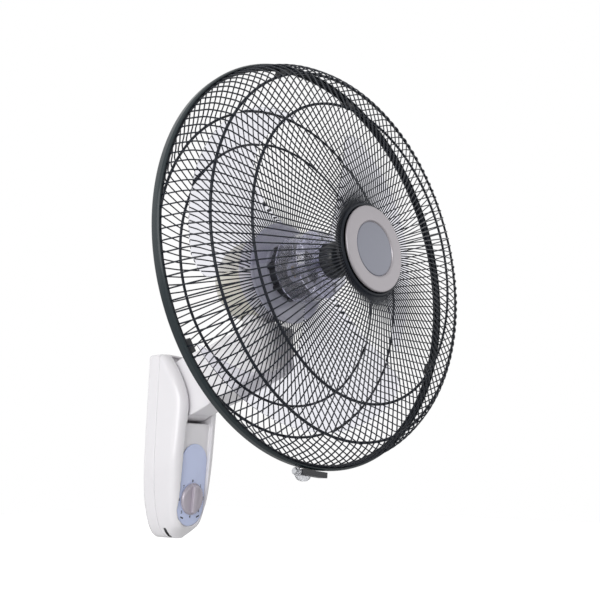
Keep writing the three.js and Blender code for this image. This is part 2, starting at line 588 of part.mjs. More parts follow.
// The corners of a run of gear teeth; the first tooth's middle lies at the start angle.
function gearTeeth(teeth, count, start) {
  const pitchR = GEAR_MODULE * teeth / 2;
  const rootR = pitchR - GEAR.deep * GEAR_MODULE;
  const tipR = pitchR + GEAR.tall * GEAR_MODULE;
  const pitch = 360 / teeth;
  const corners = [[rootR, -TOOTH.foot / 2], [tipR, -TOOTH.tip / 2], [tipR, TOOTH.tip / 2], [rootR, TOOTH.foot / 2]];
  return Array.from({ length: count }, (_, i) =>
    corners.map(([r, share]) => polar(r, start + (i + share) * pitch))).flat();
}

// The toothed arc on the neck, with a tooth on the line to the pinion's axis at rest.
function gearArc() {
  const pitch = 360 / GEAR.teeth;
  const rest = 90 + HEAD_TURN;
  const offset = rest + Math.round((PAN_RANGE.middle - rest) / pitch) * pitch;
  const half = (GEAR.arcTeeth - 1) / 2;
  const outer = gearTeeth(GEAR.teeth, GEAR.arcTeeth, offset - half * pitch);
  const inner = Array.from({ length: GEAR.arcTeeth }, (_, i) =>
    polar(FLANGE.r + GAP, offset + (half - i) * pitch));
  return shapeOf([...outer, ...inner]);
}

function buildNeck() {
  const group = new THREE.Group();
  const arm = acrossBody(neckSide(), NECK.frontHalf).intersect(neckPlan());
  const [from, to] = [PAN.y - NECK_CHAMBER.before, PAN.y + NECK_CHAMBER.past];
  const room = acrossBody([[from, 0], [to, 0], [to, NECK_TOP_Z - NECK_CHAMBER.roofHigh],
    [from, NECK_TOP_Z - NECK_CHAMBER.roofLow]], NECK.frontHalf)
    .intersect(neckPlan(NECK.wall));
  const postLow = SWIVEL_Z - PAN.postDown;
  const boss = bar(PAN.bossR, postLow - NECK.wall, SWIVEL_Z, 36, 0, -PAN.y);
  const neckArm = arm.subtract(room).add(boss)
    .subtract(crossBar(TILT.boltR + RUNNING, -FAR, FAR, -TILT.y, TILT.z))
    .subtract(bar(PAN.postR + GAP, 0, FAR, 20, 0, -PAN.y).intersect(
      bar(PAN.bossR, postLow - 2 * NECK.wall, FAR, 20, 0, -PAN.y)));
  group.add(piece('neck_arm', neckArm, WHITE));

  const cover = neckBand(-NECK.wall, NECK.coverThick, from + GAP, to - GAP)
    .intersect(arm)
    .intersect(neckPlan(NECK.wall + GAP));
  group.add(piece('neck_bottom_cover', cover, WHITE));

  const post = bar(PAN.postR, postLow, HEAD_AXIS_Z - PAN.postTop, 20, 0, -PAN.y)
    .add(bar(FLANGE.r, SWIVEL_Z + GAP, SWIVEL_Z + GAP + FLANGE.thick, 24, 0, -PAN.y));
  group.add(piece('swivel_post', post, STEEL));
  const gear = solid(raised(gearArc(), GEAR_Z, GEAR_TOP)).translate([0, -PAN.y, 0]);
  group.add(piece('swing_gear', gear, SWITCH_GREY));
  return group;
}

// ---------------------------------------------------------------- head: swing drive
// Pieces that stand upright in the head, round the swivel's own axis.
function buildSwivelParts() {
  const group = new THREE.Group();
  const shaftTop = SWING_MOTOR_Z + SWING_MOTOR.shaftUp;
  const teeth = shapeOf(gearTeeth(PINION.teeth, PINION.teeth, 180 / PINION.teeth - 90));
  const pinion = solid(raised(teeth, PINION_Z, PINION_TOP))
    .add(bar(SWING_MOTOR.shaftR, PINION_TOP - PAST, shaftTop, 16))
    .translate([0, PINION_BACK, 0]);
  group.add(piece('swing_pinion', pinion, SWITCH_GREY));
  const motor = bar(SWING_MOTOR.r, SWING_MOTOR_Z, SWING_MOTOR_Z + SWING_MOTOR.thick, 28, 0, PINION_BACK)
    .subtract(bar(SWING_MOTOR.shaftR + RUNNING, 0, shaftTop + GAP, 16, 0, PINION_BACK));
  group.add(piece('swing_motor', motor, STEEL));
  return group;
}

// ---------------------------------------------------------------- head: motor
// An upright hole at the swivel, in the head's own axes: +z is forwards, +y is up.
function uprightHole(r, low, high) {
  return solid(new THREE.CylinderGeometry(r, r, high - low, 32)
    .translate(0, (low + high) / 2, -SETBACK));
}

function buildMotor() {
  const group = new THREE.Group();
  const m = MOTOR;
  const bushHole = BUSH.r + GAP;
  const face = MOTOR_FRONT - m.wall;
  const front = spun([
    [bushHole, face], [m.frontR - m.wall, face - m.chamfer / 2], [m.frontR - m.wall, MOTOR_SPLIT],
    [m.frontR, MOTOR_SPLIT], [m.frontR, MOTOR_FRONT - m.chamfer], [m.frontR - m.chamfer, MOTOR_FRONT],
    [NOSE.r, MOTOR_FRONT], [NOSE.r, NOSE_FRONT], [bushHole, NOSE_FRONT], [bushHole, face],
  ], 30);
  group.add(piece('motor_front_cover', front, BLACK_PLASTIC));

  const t = MOTOR_TAIL;
  const rearFrom = MOTOR_SPLIT - GAP;
  const rear = spun([
    [0, MOTOR_REAR], [m.tailR - t.button, MOTOR_REAR], [m.tailR, MOTOR_REAR + t.step],
    [m.rearR - t.draw, MOTOR_REAR + t.shoulder], [m.rearR, MOTOR_REAR + t.full], [m.rearR, rearFrom],
    [m.rearR - m.wall, rearFrom], [m.rearR - m.wall, MOTOR_REAR + t.full],
    [m.rearR - t.draw - m.wall, MOTOR_REAR + t.shoulder + 1],
    [m.tailR - m.wall, MOTOR_REAR + t.step + m.wall / 2],
    [m.tailR - t.button, MOTOR_REAR + m.wall], [0, MOTOR_REAR + m.wall],
  ], 30).subtract(uprightHole(PAN.bossR + PAN.bossRoom, -FAR, 0));
  group.add(piece('motor_rear_cover', rear, CREAM));

  const bush = (at) => ring(SHAFT.r + RUNNING, BUSH.r, at, at + BUSH.long, 16);
  group.add(piece('front_bush', bush(MOTOR_FRONT + BUSH.proud), BRONZE));
  group.add(piece('rear_bush', bush(END_PLATE_REAR - BUSH.proud), BRONZE));
  group.add(piece('stator_core', ring(STATOR.bore, STATOR.r, STATOR_REAR, STATOR_FRONT, 24), STEEL));
  const winding = (from) => ring(WINDING.inner, WINDING.outer, from, from + WINDING.thick - GAP, 24);
  group.add(piece('winding_front', winding(STATOR_FRONT + GAP), COPPER));
  group.add(piece('winding_rear', winding(STATOR_REAR - WINDING.thick), COPPER));

  const block = box(-SWIVEL_BLOCK.half, SWIVEL_BLOCK.half,
    GEAR_TOP + RUNNING - HEAD_AXIS_Z, -SWIVEL_BLOCK.high,
    -SETBACK - SWIVEL_BLOCK.half, END_PLATE_REAR + PAST);
  const frame = bar(END_PLATE.r, END_PLATE_REAR, END_PLATE_FRONT, 40).add(block)
    .subtract(bar(BUSH.r + GAP, END_PLATE_REAR - BUSH.long, 0, 24))
    .subtract(uprightHole(PAN.postR + RUNNING, -FAR, 0));
  group.add(piece('swivel_frame', frame, CAST));

  const nutFront = NUT_REAR + LOCK_NUT.long;
  const lobes = Array.from({ length: LOCK_NUT.lobes }, (_, i) =>
    bar(LOCK_NUT.lobeR, NUT_REAR, nutFront, 8, ...polar(LOCK_NUT.r, i * 360 / LOCK_NUT.lobes)));
  const nut = ring(NOSE.r + GAP, LOCK_NUT.r, NUT_REAR, nutFront, 36).add(union(lobes));
  group.add(piece('guard_lock_nut', nut, BLACK_PLASTIC));
  return group;
}

// ---------------------------------------------------------------- head: guards
// The way of one guard wire, as straight runs through the points of a profile of
// radii and heights, at one angle round the axis.
class GuardWire extends THREE.Curve {
  constructor(profile, angle) {
    super();
    this.points = profile.map(([r, z]) => new THREE.Vector3(...polar(r, angle), z));
  }

  getPoint(t) {
    const along = t * (this.points.length - 1);
    const i = Math.min(Math.floor(along), this.points.length - 2);
    return this.points[i].clone().lerp(this.points[i + 1], along - i);
  }

  getPointAt(t) {
    return this.getPoint(t);
  }
}

function torus(r, tube, z, around = GUARD_WIRES) {
  const geometry = new THREE.TorusGeometry(r, tube, RING_SIDES, around);
  return solid(geometry.translate(0, 0, z));
}

function guard(profile, side) {
  const section = shapeOf(Array.from({ length: WIRE_SIDES }, (_, i) =>
    polar(WIRE_R, i * 360 / WIRE_SIDES)));
  let cage = torus(GUARD_RING.r, GUARD_RING.tube, side * GUARD_RING.off);
  const pitch = 360 / GUARD_WIRES;
  for (let i = 0; i < GUARD_WIRES; i += 1) {
    const wire = new THREE.ExtrudeGeometry(section, {
      steps: profile.length - 1,
      bevelEnabled: false,
      extrudePath: new GuardWire(profile, (i + 0.5) * pitch),
    });
    cage = cage.add(solid(wire));
  }
  return cage;
}

// A hoop welded to the blades' side of the wires, in one bend of their profile.
function hoop(profile, bend, side) {
  const [before, here, after] = profile.slice(bend, bend + 3);
  const into = Math.atan2(here[1] - before[1], here[0] - before[0]);
  const out = Math.atan2(after[1] - here[1], after[0] - here[0]);
  const away = (into + out) / 2 - side * Math.PI / 2;
  const reach = (WIRE_R + HOOP_TUBE) / Math.cos((into - out) / 2) + GAP;
  return torus(here[0] + reach * Math.cos(away), HOOP_TUBE, here[1] + reach * Math.sin(away),
    2 * GUARD_WIRES);
}

// From the guard's middle out over its bends to the ring inside the rim.
const guardProfile = (start, bends, side) => [
  start,
  ...bends.map((bend) => [RIM.r - bend.in, bend.z]),
  [GUARD_RING.r, side * GUARD_RING.lip],
  [GUARD_RING.r, side * GUARD_RING.off],
];

function buildGuards() {
  const group = new THREE.Group();
  const frontProfile = guardProfile([FRONT_HUB.r, FRONT_HUB.z], FRONT_BENDS, 1);
  const front = guard(frontProfile, 1)
    .add(torus(FRONT_HUB.r, FRONT_HUB.tube, FRONT_HUB.z));
  group.add(piece('front_guard', front, WIRE_BLACK));
  group.add(piece('front_hoop_inner', hoop(frontProfile, FRONT_HOOPS.inner, 1), WIRE_BLACK));
  group.add(piece('front_hoop_outer', hoop(frontProfile, FRONT_HOOPS.outer, 1), WIRE_BLACK));

  const plateRear = REAR_PLATE.z - REAR_PLATE.thick / 2;
  const rearProfile = guardProfile([REAR_PLATE.r - WIRE_R, REAR_PLATE.z], REAR_BENDS, -1);
  const rear = guard(rearProfile, -1)
    .add(ring(NOSE.r + GAP, REAR_PLATE.r, plateRear, plateRear + REAR_PLATE.thick, GUARD_WIRES));
  group.add(piece('rear_guard', rear, WIRE_BLACK));
  group.add(piece('rear_hoop_inner', hoop(rearProfile, REAR_HOOPS.inner, -1), WIRE_BLACK));
  group.add(piece('rear_hoop_outer', hoop(rearProfile, REAR_HOOPS.outer, -1), WIRE_BLACK));
  return group;
}

// ---------------------------------------------------------------- head: rim
function buildRim() {
  const group = new THREE.Group();
  const inner = RIM.r - RIM.thick;
  const lipIn = inner - RIM.lip;
  const shoulder = RIM.r - RIM.crown;
  const band = spun([
    [inner, RIM.lipDeep - RIM.half], [lipIn, -RIM.half], [shoulder, -RIM.half],
    [RIM.r, 0], [shoulder, RIM.half], [lipIn, RIM.half],
    [inner, RIM.half - RIM.lipDeep], [inner, RIM.lipDeep - RIM.half],
  ], 60);
  group.add(piece('rim_band', band, WIRE_BLACK));

  const clipIn = RIM.r + GAP;
  const clipOut = clipIn + RIM_CLIP.radial;
  const boltDown = (clipIn + clipOut) / 2;
  const half = RIM_CLIP.width / 2;
  const across = (r, from, to, sides) => crossBar(r, from, to, -boltDown, 0, sides);
  const rimRoom = bar(clipIn, -FAR, FAR, 96);
  const boltRoom = across(RIM_CLIP.bolt + GAP, -FAR, FAR, 12);
  const clip = box(-half, half, -clipOut, -clipIn, -RIM_CLIP.axial / 2, RIM_CLIP.axial / 2)
    .subtract(rimRoom)
    .subtract(boltRoom);

  const tabTo = -half - GAP;
  const tabFrom = tabTo - RIM_TAB.width;
  const headTo = tabFrom - GAP;
  const bolt = across(RIM_CLIP.bolt, headTo - RIM_CLIP.headDeep / 2, half + RIM_CLIP.boltPast, 12)
    .add(across(RIM_CLIP.headR, headTo - RIM_CLIP.headDeep, headTo, 6));
  // a half moon that hangs below the clip, on an ear round the bolt
  const moon = new THREE.Shape().absellipse(tabFrom + RIM_TAB.reach / 2, -clipOut - GAP,
    RIM_TAB.reach / 2, RIM_TAB.deep, Math.PI, 2 * Math.PI, false);
  const tab = across(RIM_TAB.bossR, tabFrom, tabTo, 16)
    .add(box(tabFrom, tabTo, -clipOut - PAST, -boltDown, -RIM_TAB.axial / 2, RIM_TAB.axial / 2))
    .add(solid(raised(moon, -RIM_TAB.axial / 2, RIM_TAB.axial / 2)))
    .subtract(boltRoom)
    .subtract(rimRoom);
  for (const [name, part, material] of [
    ['rim_clip', clip, BLACK_PLASTIC], ['rim_clip_bolt', bolt, STEEL], ['rim_clip_tab', tab, CLEAR_TAB],
  ]) {
    group.add(piece(name, part.rotate([0, 0, RIM_CLIP_TURN]), material));
  }
  return group;
}

function buildCap() {
  const group = new THREE.Group();
  const c = CAP;
  const [back, front] = [CAP_Z, CAP_Z + c.rim];
  const dish = spun([
    [0, back], [c.r - c.side, back], [c.r, back + c.edge], [c.r, back + c.side],
    [c.r - c.side, front], [c.dishR + c.edge, front - c.fall], [c.dishR, front - c.dish],
    [c.dishR - c.groove, front - c.dish / 2], [0, front - c.dish / 2],
  ], 36);
  const legs = union(Array.from({ length: CAP_LEG.count }, (_, i) =>
    bar(CAP_LEG.r, HUB_PLATE_Z + HUB_PLATE.thick + GAP, back + PAST, 12,
      ...polar(CAP_LEG.at, 90 + i * 360 / CAP_LEG.count))));
  group.add(piece('centre_cap', dish.add(legs), SILVER));
  group.add(piece('guard_hub_plate', ring(HUB_PLATE.bore, HUB_PLATE.r, HUB_PLATE_Z,
    HUB_PLATE_Z + HUB_PLATE.thick, 36), BLACK_PLASTIC));
  return group;
}

// ---------------------------------------------------------------- blades
const BLADE_SPANS = 6;
const BLADE_CHORDS = 4;

// Edges of a blade in degrees back from its start, by share of its span.
const straightEdge = (u) => BLADE_EDGE.rootLag * (1 - u) ** 2 - BLADE_EDGE.tipLead * u;
const curvedEdge = (u) => lerp(BLADE_WIDTH.root, BLADE_WIDTH.tip, u ** 2)
  - BLADE_WIDTH.waist * Math.sin(Math.PI * u);

function bladePoint(u, v, face, start) {
  const root = HUB.r - BLADE.overlap;
  const r = lerp(root, BLADE.tip, u);
  const turn = lerp(straightEdge(u), curvedEdge(u), v);
  const fromMiddle = (v - 0.5) * (curvedEdge(u) - straightEdge(u));
  const pitch = lerp(BLADE_PITCH.root, BLADE_PITCH.tip, u);
  const fall = fromMiddle * DEG * Math.min(r, BLADE.chordR) * Math.tan(pitch * DEG);
  const camber = BLADE.camber * Math.sin(Math.PI * v) * u;
  const [x, y] = polar(r, start - turn);
  return [x, y, BLADE.z - fall + camber + face * BLADE.thick / 2];
}

function bladeSolid(start) {
  const positions = [];
  const index = [];
  const at = (face, i, j) => (face * (BLADE_SPANS + 1) + i) * (BLADE_CHORDS + 1) + j;
  for (const face of [-1, 1]) {
    for (let i = 0; i <= BLADE_SPANS; i += 1) {
      for (let j = 0; j <= BLADE_CHORDS; j += 1) {
        positions.push(...bladePoint(i / BLADE_SPANS, j / BLADE_CHORDS, face, start));
      }
    }
  }
  const quad = (a, b, c, d) => index.push(a, c, b, a, d, c);
  for (let i = 0; i < BLADE_SPANS; i += 1) {
    for (let j = 0; j < BLADE_CHORDS; j += 1) {
      quad(at(0, i, j), at(0, i, j + 1), at(0, i + 1, j + 1), at(0, i + 1, j));
      quad(at(1, i, j), at(1, i + 1, j), at(1, i + 1, j + 1), at(1, i, j + 1));
    }
    quad(at(0, i, 0), at(0, i + 1, 0), at(1, i + 1, 0), at(1, i, 0));
    quad(at(0, i, BLADE_CHORDS), at(1, i, BLADE_CHORDS),
      at(1, i + 1, BLADE_CHORDS), at(0, i + 1, BLADE_CHORDS));
  }
  const tip = BLADE_SPANS;
  for (let j = 0; j < BLADE_CHORDS; j += 1) {
    quad(at(0, 0, j), at(1, 0, j), at(1, 0, j + 1), at(0, 0, j + 1));
    quad(at(0, tip, j), at(0, tip, j + 1), at(1, tip, j + 1), at(1, tip, j));
  }
  const geometry = new THREE.BufferGeometry();
  geometry.setAttribute('position', new THREE.Float32BufferAttribute(positions, 3));
  geometry.setIndex(index);
  return solid(geometry);
}

function buildRotor() {
  const group = new THREE.Group();
  const shaftRear = END_PLATE_REAR - BUSH.proud - 2 * GAP;
  group.add(piece('motor_shaft', bar(SHAFT.r, shaftRear, SHAFT_FRONT, 20), STEEL));
  group.add(piece('rotor_core', ring(SHAFT.r + GAP, ROTOR.r, STATOR_REAR + ROTOR.shorter,
    STATOR_FRONT - ROTOR.shorter, 24), STEEL));

  const h = HUB;
  const bore = SHAFT.r + GAP;
  const inside = h.front - 2 * h.wall;
  const hub = spun([
    [bore, h.bossRear], [h.bossR, h.bossRear], [h.bossR, inside],
    [h.r - h.cheek - h.wall, inside], [h.r - h.wall, h.front - h.cheek - 2 * h.wall],
    [h.r - h.wall, h.rear], [h.r, h.rear], [h.r, h.front - h.cheek],
    [h.r - h.cheek / 3, h.front - h.cheek / 2], [h.r - h.cheek, h.front - h.wall / 2],
    [h.r - h.crown, h.front], [bore, h.front], [bore, h.bossRear],
  ], 32);
  const hubRoom = bar(h.r - h.wall / 2, -FAR, FAR, 32);
  const blades = Array.from({ length: BLADES }, (_, i) =>
    bladeSolid(BLADE_START - i * 360 / BLADES).subtract(hubRoom));
  group.add(piece('blades', hub.add(union(blades)), SMOKE));

  const s = SPINNER;
  const rear = h.front + 2 * GAP;
  const front = rear + s.long;
  const ribs = Array.from({ length: s.ribs }, (_, i) =>
    bar(s.ribR, rear - PAST, front - s.chamfer, 6, ...polar(s.r + s.ribR / 3, i * 360 / s.ribs)));
  const spinner = spun([
    [0, rear], [s.r, rear], [s.r, front - s.chamfer], [s.r - s.chamfer / 3, front - s.chamfer / 3],
    [s.r - s.chamfer, front], [0, front],
  ], 32)
    .subtract(bar(bore, rear - PAST, SHAFT_FRONT + GAP, 20))
    .subtract(union(ribs));
  group.add(piece('blade_lock_nut', spinner, BLACK_PLASTIC));
  return group;
}

// ---------------------------------------------------------------- assembly
const fan = new THREE.Group();
fan.add(buildBody(), buildBracket(), buildPanel(), buildHinge(), buildNeck());

const head = new THREE.Group();
head.position.set(0, -PAN.y, 0);
head.rotation.z = HEAD_TURN * DEG;
head.add(buildSwivelParts());

const axis = new THREE.Group();
axis.position.set(0, -SETBACK, HEAD_AXIS_Z);
axis.rotation.x = Math.PI / 2;
axis.add(buildMotor(), buildGuards(), buildRim(), buildCap(), buildRotor());
head.add(axis);
fan.add(head);

export default fan;
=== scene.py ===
"""Looks of a wall mounted fan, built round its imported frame.

The wall is the plane Y = 0, the fan faces -Y and +Z is up. Sizes are millimetres in
the classes and become metres when a mesh is made. Pieces of the head are drawn on
the blade axis first, with +Z forwards from the middle of the rim, and are then set
into the row by the head's own matrix.
"""
import json
import logging
import math
from contextlib import contextmanager
from dataclasses import dataclass, field
from enum import Enum
from typing import Iterable, Iterator, Optional, Sequence

import bmesh
import bpy
from bpy.types import GeometryNodeTree, ID, Material, Node, NodeSocket, NodeTree, Object, Scene
from mathutils import Matrix, Vector


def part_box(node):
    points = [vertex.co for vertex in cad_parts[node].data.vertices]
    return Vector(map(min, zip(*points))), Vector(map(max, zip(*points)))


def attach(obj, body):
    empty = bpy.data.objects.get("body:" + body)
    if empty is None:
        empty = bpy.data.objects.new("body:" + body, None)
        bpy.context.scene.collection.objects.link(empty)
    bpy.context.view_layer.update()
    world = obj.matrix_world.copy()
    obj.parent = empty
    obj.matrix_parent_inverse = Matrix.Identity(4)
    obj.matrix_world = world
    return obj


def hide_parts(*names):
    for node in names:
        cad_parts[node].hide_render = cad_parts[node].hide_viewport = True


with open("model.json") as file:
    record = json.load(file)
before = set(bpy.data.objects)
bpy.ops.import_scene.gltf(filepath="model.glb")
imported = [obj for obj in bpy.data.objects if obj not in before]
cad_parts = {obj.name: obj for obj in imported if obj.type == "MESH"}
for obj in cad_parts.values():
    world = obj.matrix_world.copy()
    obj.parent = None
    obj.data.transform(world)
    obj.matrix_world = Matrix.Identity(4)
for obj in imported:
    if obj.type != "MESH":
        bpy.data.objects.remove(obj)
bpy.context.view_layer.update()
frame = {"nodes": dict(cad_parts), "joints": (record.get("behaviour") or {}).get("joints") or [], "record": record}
LOG = logging.getLogger("fan")

MM = 0.001
TURN = 2.0 * math.pi
FAR = 200.0  # millimetres, a cutter of this length passes every piece
TINY = 1e-6  # lengths under this count as nothing
GRID = 0.9  # millimetres, the grid on which moulded pieces are smoothed
FLAT = math.radians(1.0)  # faces that meet at less than this are one
UP = Vector((0, 0, 1))
WHITE = (1.0, 1.0, 1.0, 1.0)
DUST_TONE = (0.55, 0.54, 0.52, 1.0)
SIDE_SHARE = 0.48  # of a side, the most that one round corner takes
LEAST_CORNER = 1e-3  # millimetres, a shorter corner stays sharp
NEARLY_STRAIGHT = math.radians(87)  # and so does one with more than twice this angle
INK = 0.05  # millimetres, half the thickness of the print
STROKE = 0.2  # millimetres by which its lines are made bolder
FONT_SHARE = 1.4  # of a number's height, the size of the font
Point2 = tuple[float, float]
Point3 = tuple[float, float, float]
Colour = tuple[float, float, float]


class Body(Enum):
    """Bodies of the frame that a piece can ride on."""

    WALL = "wall_body"
    KNOB = "knob"
    NECK = "neck"
    HEAD = "head"
    ROTOR = "rotor"


# ------------------------------------------------------------------ outlines
def polar(radius: float, degrees: float) -> Point2:
    """A point at a radius and an angle from +X."""
    angle = math.radians(degrees)
    return radius * math.cos(angle), radius * math.sin(angle)


def arc(radius: float, start: float, sweep: float, steps: int, centre: Point2 = (0.0, 0.0)) -> list[Point2]:
    """Points along an arc.

    Args:
        radius: the arc's radius.
        start: the angle of its first point, in degrees.
        sweep: the angle that it goes on by, in degrees.
        steps: the number of equal steps.
        centre: the arc's centre.

    Returns:
        steps + 1 points, with both ends.
    """
    return [(centre[0] + x, centre[1] + y) for x, y in
            (polar(radius, start + i * sweep / steps) for i in range(steps + 1))]


def lerp(a: float, b: float, share: float) -> float:
    """The value a share of the way from a to b."""
    return a + (b - a) * share


def bezier(points: Sequence[Point2], steps: int) -> list[Point2]:
    """Points along a Bezier curve.

    Args:
        points: the curve's three or four control points.
        steps: the number of equal steps of its parameter.

    Returns:
        steps + 1 points, with both ends.
    """
    def at(t: float, run: Sequence[Point2]) -> Point2:
        while len(run) > 1:
            run = [(lerp(a[0], b[0], t), lerp(a[1], b[1], t)) for a, b in zip(run, run[1:])]
        return run[0]
    return [at(i / steps, points) for i in range(steps + 1)]


def filleted(points: Sequence[Point2], radius: float, closed: bool = False,
             steps: int = 4) -> list[Point2]:
    """A polyline with its corners rounded.

    Args:
        points: the corners.
        radius: the wanted radius, made smaller where a side is too short for it.
        closed: whether the last corner joins the first.
        steps: the number of facets of each round corner.

    Returns:
        The rounded polyline.
    """
    count = len(points)
    result: list[Point2] = []
    for i, corner in enumerate(points):
        if not closed and i in (0, count - 1):
            result.append(corner)
            continue
        here = Vector(corner)
        back = Vector(points[i - 1]) - here
        ahead = Vector(points[(i + 1) % count]) - here
        if back.length < TINY or ahead.length < TINY:
            result.append(corner)
            continue
        half = back.angle(ahead) / 2
        reach = min(radius / max(math.tan(half), TINY), SIDE_SHARE * back.length, SIDE_SHARE * ahead.length)
        if reach < LEAST_CORNER or half > NEARLY_STRAIGHT:
            result.append(corner)
            continue
        start, end = here + back.normalized() * reach, here + ahead.normalized() * reach
        result.extend(bezier([tuple(start), corner, tuple(end)], steps))
    return result


def read_at(pairs: Sequence[Point2], z: float) -> float:
    """The first number of a falling list of (value, height) pairs at a height."""
    for above, below in zip(pairs, pairs[1:]):
        if above[1] >= z >= below[1]:
            drop = above[1] - below[1]
            return below[0] if drop < TINY else lerp(above[0], below[0], (above[1] - z) / drop)
    return pairs[0][0] if z > pairs[0][1] else pairs[-1][0]


# ------------------------------------------------------------------ meshes
def add_object(name: str, data: ID) -> Object:
    """A new object of the scene that holds a mesh, a curve, a lamp or a camera."""
    obj = bpy.data.objects.new(name, data)
    bpy.context.scene.collection.objects.link(obj)
    return obj


@contextmanager
def editing(obj: Object) -> Iterator[bmesh.types.BMesh]:
    """Opens an object's mesh for changes and writes them back at the end.

    Args:
        obj: the object.

    Yields:
        The mesh in the form that bmesh works on.
    """
    work = bmesh.new()
    work.from_mesh(obj.data)
    yield work
    work.to_mesh(obj.data)
    work.free()


def make_object(name: str, verts: Iterable[Sequence[float]],
                faces: Iterable[Sequence[int]]) -> Object:
    """A mesh object, merged, smooth and facing outwards.

    Args:
        name: the object's name.
        verts: its points in millimetres.
        faces: the numbers of each face's points.

    Returns:
        The new object.
    """
    mesh = bpy.data.meshes.new(name)
    mesh.from_pydata([[c * MM for c in v] for v in verts], [], [list(f) for f in faces])
    obj = add_object(name, mesh)
    tidy(obj)
    return obj


def tidy(obj: Object) -> None:
    """Merges an object's doubles and turns its faces outwards."""
    with editing(obj) as work:
        bmesh.ops.remove_doubles(work, verts=work.verts, dist=TINY)
        bmesh.ops.dissolve_degenerate(work, edges=work.edges, dist=TINY / 10)
        bmesh.ops.recalc_face_normals(work, faces=work.faces)


def shade(obj: Object, degrees: float) -> None:
    """Smooth shading, but sharp across edges steeper than an angle."""
    mesh = obj.data
    mesh.shade_smooth()
    mesh.set_sharp_from_angle(angle=math.radians(degrees))


def loft(name: str, rings: Sequence[Sequence[Point3]]) -> Object:
    """A closed body with flat ends.

    Args:
        name: the object's name.
        rings: its cross sections in order, with equal numbers of points.

    Returns:
        The closed mesh object.
    """
    around = len(rings[0])
    faces: list[list[int]] = []
    for i in range(len(rings) - 1):
        for j in range(around):
            k = (j + 1) % around
            a, b = i * around + j, i * around + k
            faces.append([a, b, b + around, a + around])
    last = (len(rings) - 1) * around
    faces.append(list(range(around)))
    faces.append([last + j for j in range(around)])
    return make_object(name, [p for ring in rings for p in ring], faces)


def lathe(name: str, profile: Sequence[Point2], steps: int = 128) -> Object:
    """A turned body about +Z.

    Args:
        name: the object's name.
        profile: (radius, height) pairs from axis to axis, or once round a closed ring.
        steps: the number of facets round the axis.

    Returns:
        The closed mesh object.
    """
    closed = profile[0][0] > TINY
    count = len(profile)
    verts = [(r * math.cos(TURN * k / steps), r * math.sin(TURN * k / steps), z)
             for r, z in profile for k in range(steps)]
    faces = []
    for i in range(count if closed else count - 1):
        j = (i + 1) % count
        for k in range(steps):
            n = (k + 1) % steps
            faces.append([i * steps + k, i * steps + n, j * steps + n, j * steps + k])
    return make_object(name, verts, faces)


def prism(name: str, outline: Sequence[Point2], low: float, high: float) -> Object:
    """An outline in X and Y raised along Z."""
    return loft(name, [[(x, y, z) for x, y in outline] for z in (low, high)])


def block(name: str, low: Point3, high: Point3) -> Object:
    """A plain box between two corners, used as a cutter."""
    (x0, y0, z0), (x1, y1, z1) = low, high
    return prism(name, [(x0, y0), (x1, y0), (x1, y1), (x0, y1)], z0, z1)


def disc_outline(radius: float, steps: int = 48, centre: Point2 = (0.0, 0.0)) -> list[Point2]:
    """The points of a circle."""
    angles = [TURN * k / steps for k in range(steps)]
    return [(centre[0] + radius * math.cos(a), centre[1] + radius * math.sin(a)) for a in angles]


def freeze(obj: Object) -> None:
    """Makes an object's modifiers part of its mesh."""
    evaluated = obj.evaluated_get(bpy.context.evaluated_depsgraph_get())
    mesh = bpy.data.meshes.new_from_object(evaluated)
    obj.modifiers.clear()
    obj.data = mesh
    mesh.name = obj.name


def remove(obj: Object) -> None:
    """Deletes an object that was only a tool."""
    bpy.data.objects.remove(obj, do_unlink=True)


class Join(Enum):
    """How two solids are put together."""

    CUT = "DIFFERENCE"
    ADD = "UNION"
    KEEP = "INTERSECT"


def combine(obj: Object, tool: Object, how: Join) -> None:
    """Puts two solids together.

    Args:
        obj: the solid that is changed.
        tool: the other one, which is used up.
        how: whether it is cut away, added or kept in common.
    """
    modifier = obj.modifiers.new("join", "BOOLEAN")
    modifier.operation = how.value
    modifier.object = tool
    modifier.solver = "EXACT"
    freeze(obj)
    remove(tool)


def soften(obj: Object, width: float, segments: int = 3, degrees: float = 30.0) -> None:
    """Rounds the sharp edges of an object.

    Args:
        obj: the object.
        width: the rounding's width in millimetres.
        segments: the number of facets across it.
        degrees: edges steeper than this are rounded.
    """
    modifier = obj.modifiers.new("soften", "BEVEL")
    modifier.width = width * MM
    modifier.segments = segments
    modifier.limit_method = "ANGLE"
    modifier.angle_limit = math.radians(degrees)
    modifier.harden_normals = False
    freeze(obj)


def merged(name: str, parts: Sequence[Object]) -> Object:
    """One object from several, which are used up."""
    work = bmesh.new()
    for part in parts:
        work.from_mesh(part.data)
    mesh = bpy.data.meshes.new(name)
    work.to_mesh(mesh)
    work.free()
    for part in parts:
        remove(part)
    return add_object(name, mesh)


# ------------------------------------------------------------------ places
def joint_named(name: str) -> dict:
    """A joint of the frame by its name."""
    return next(joint for joint in frame["joints"] if joint["name"] == name)


def axis_matrix(origin: Vector, forwards: Vector) -> Matrix:
    """The matrix of a piece's own axes.

    Args:
        origin: where they start, in metres.
        forwards: where their +Z points; their +Y is as upright as it can be.

    Returns:
        The matrix from those axes into the row.
    """
    side = UP.cross(forwards).normalized()
    upright = forwards.cross(side).normalized()
    place = Matrix((side, upright, forwards)).transposed().to_4x4()
    place.translation = origin
    return place


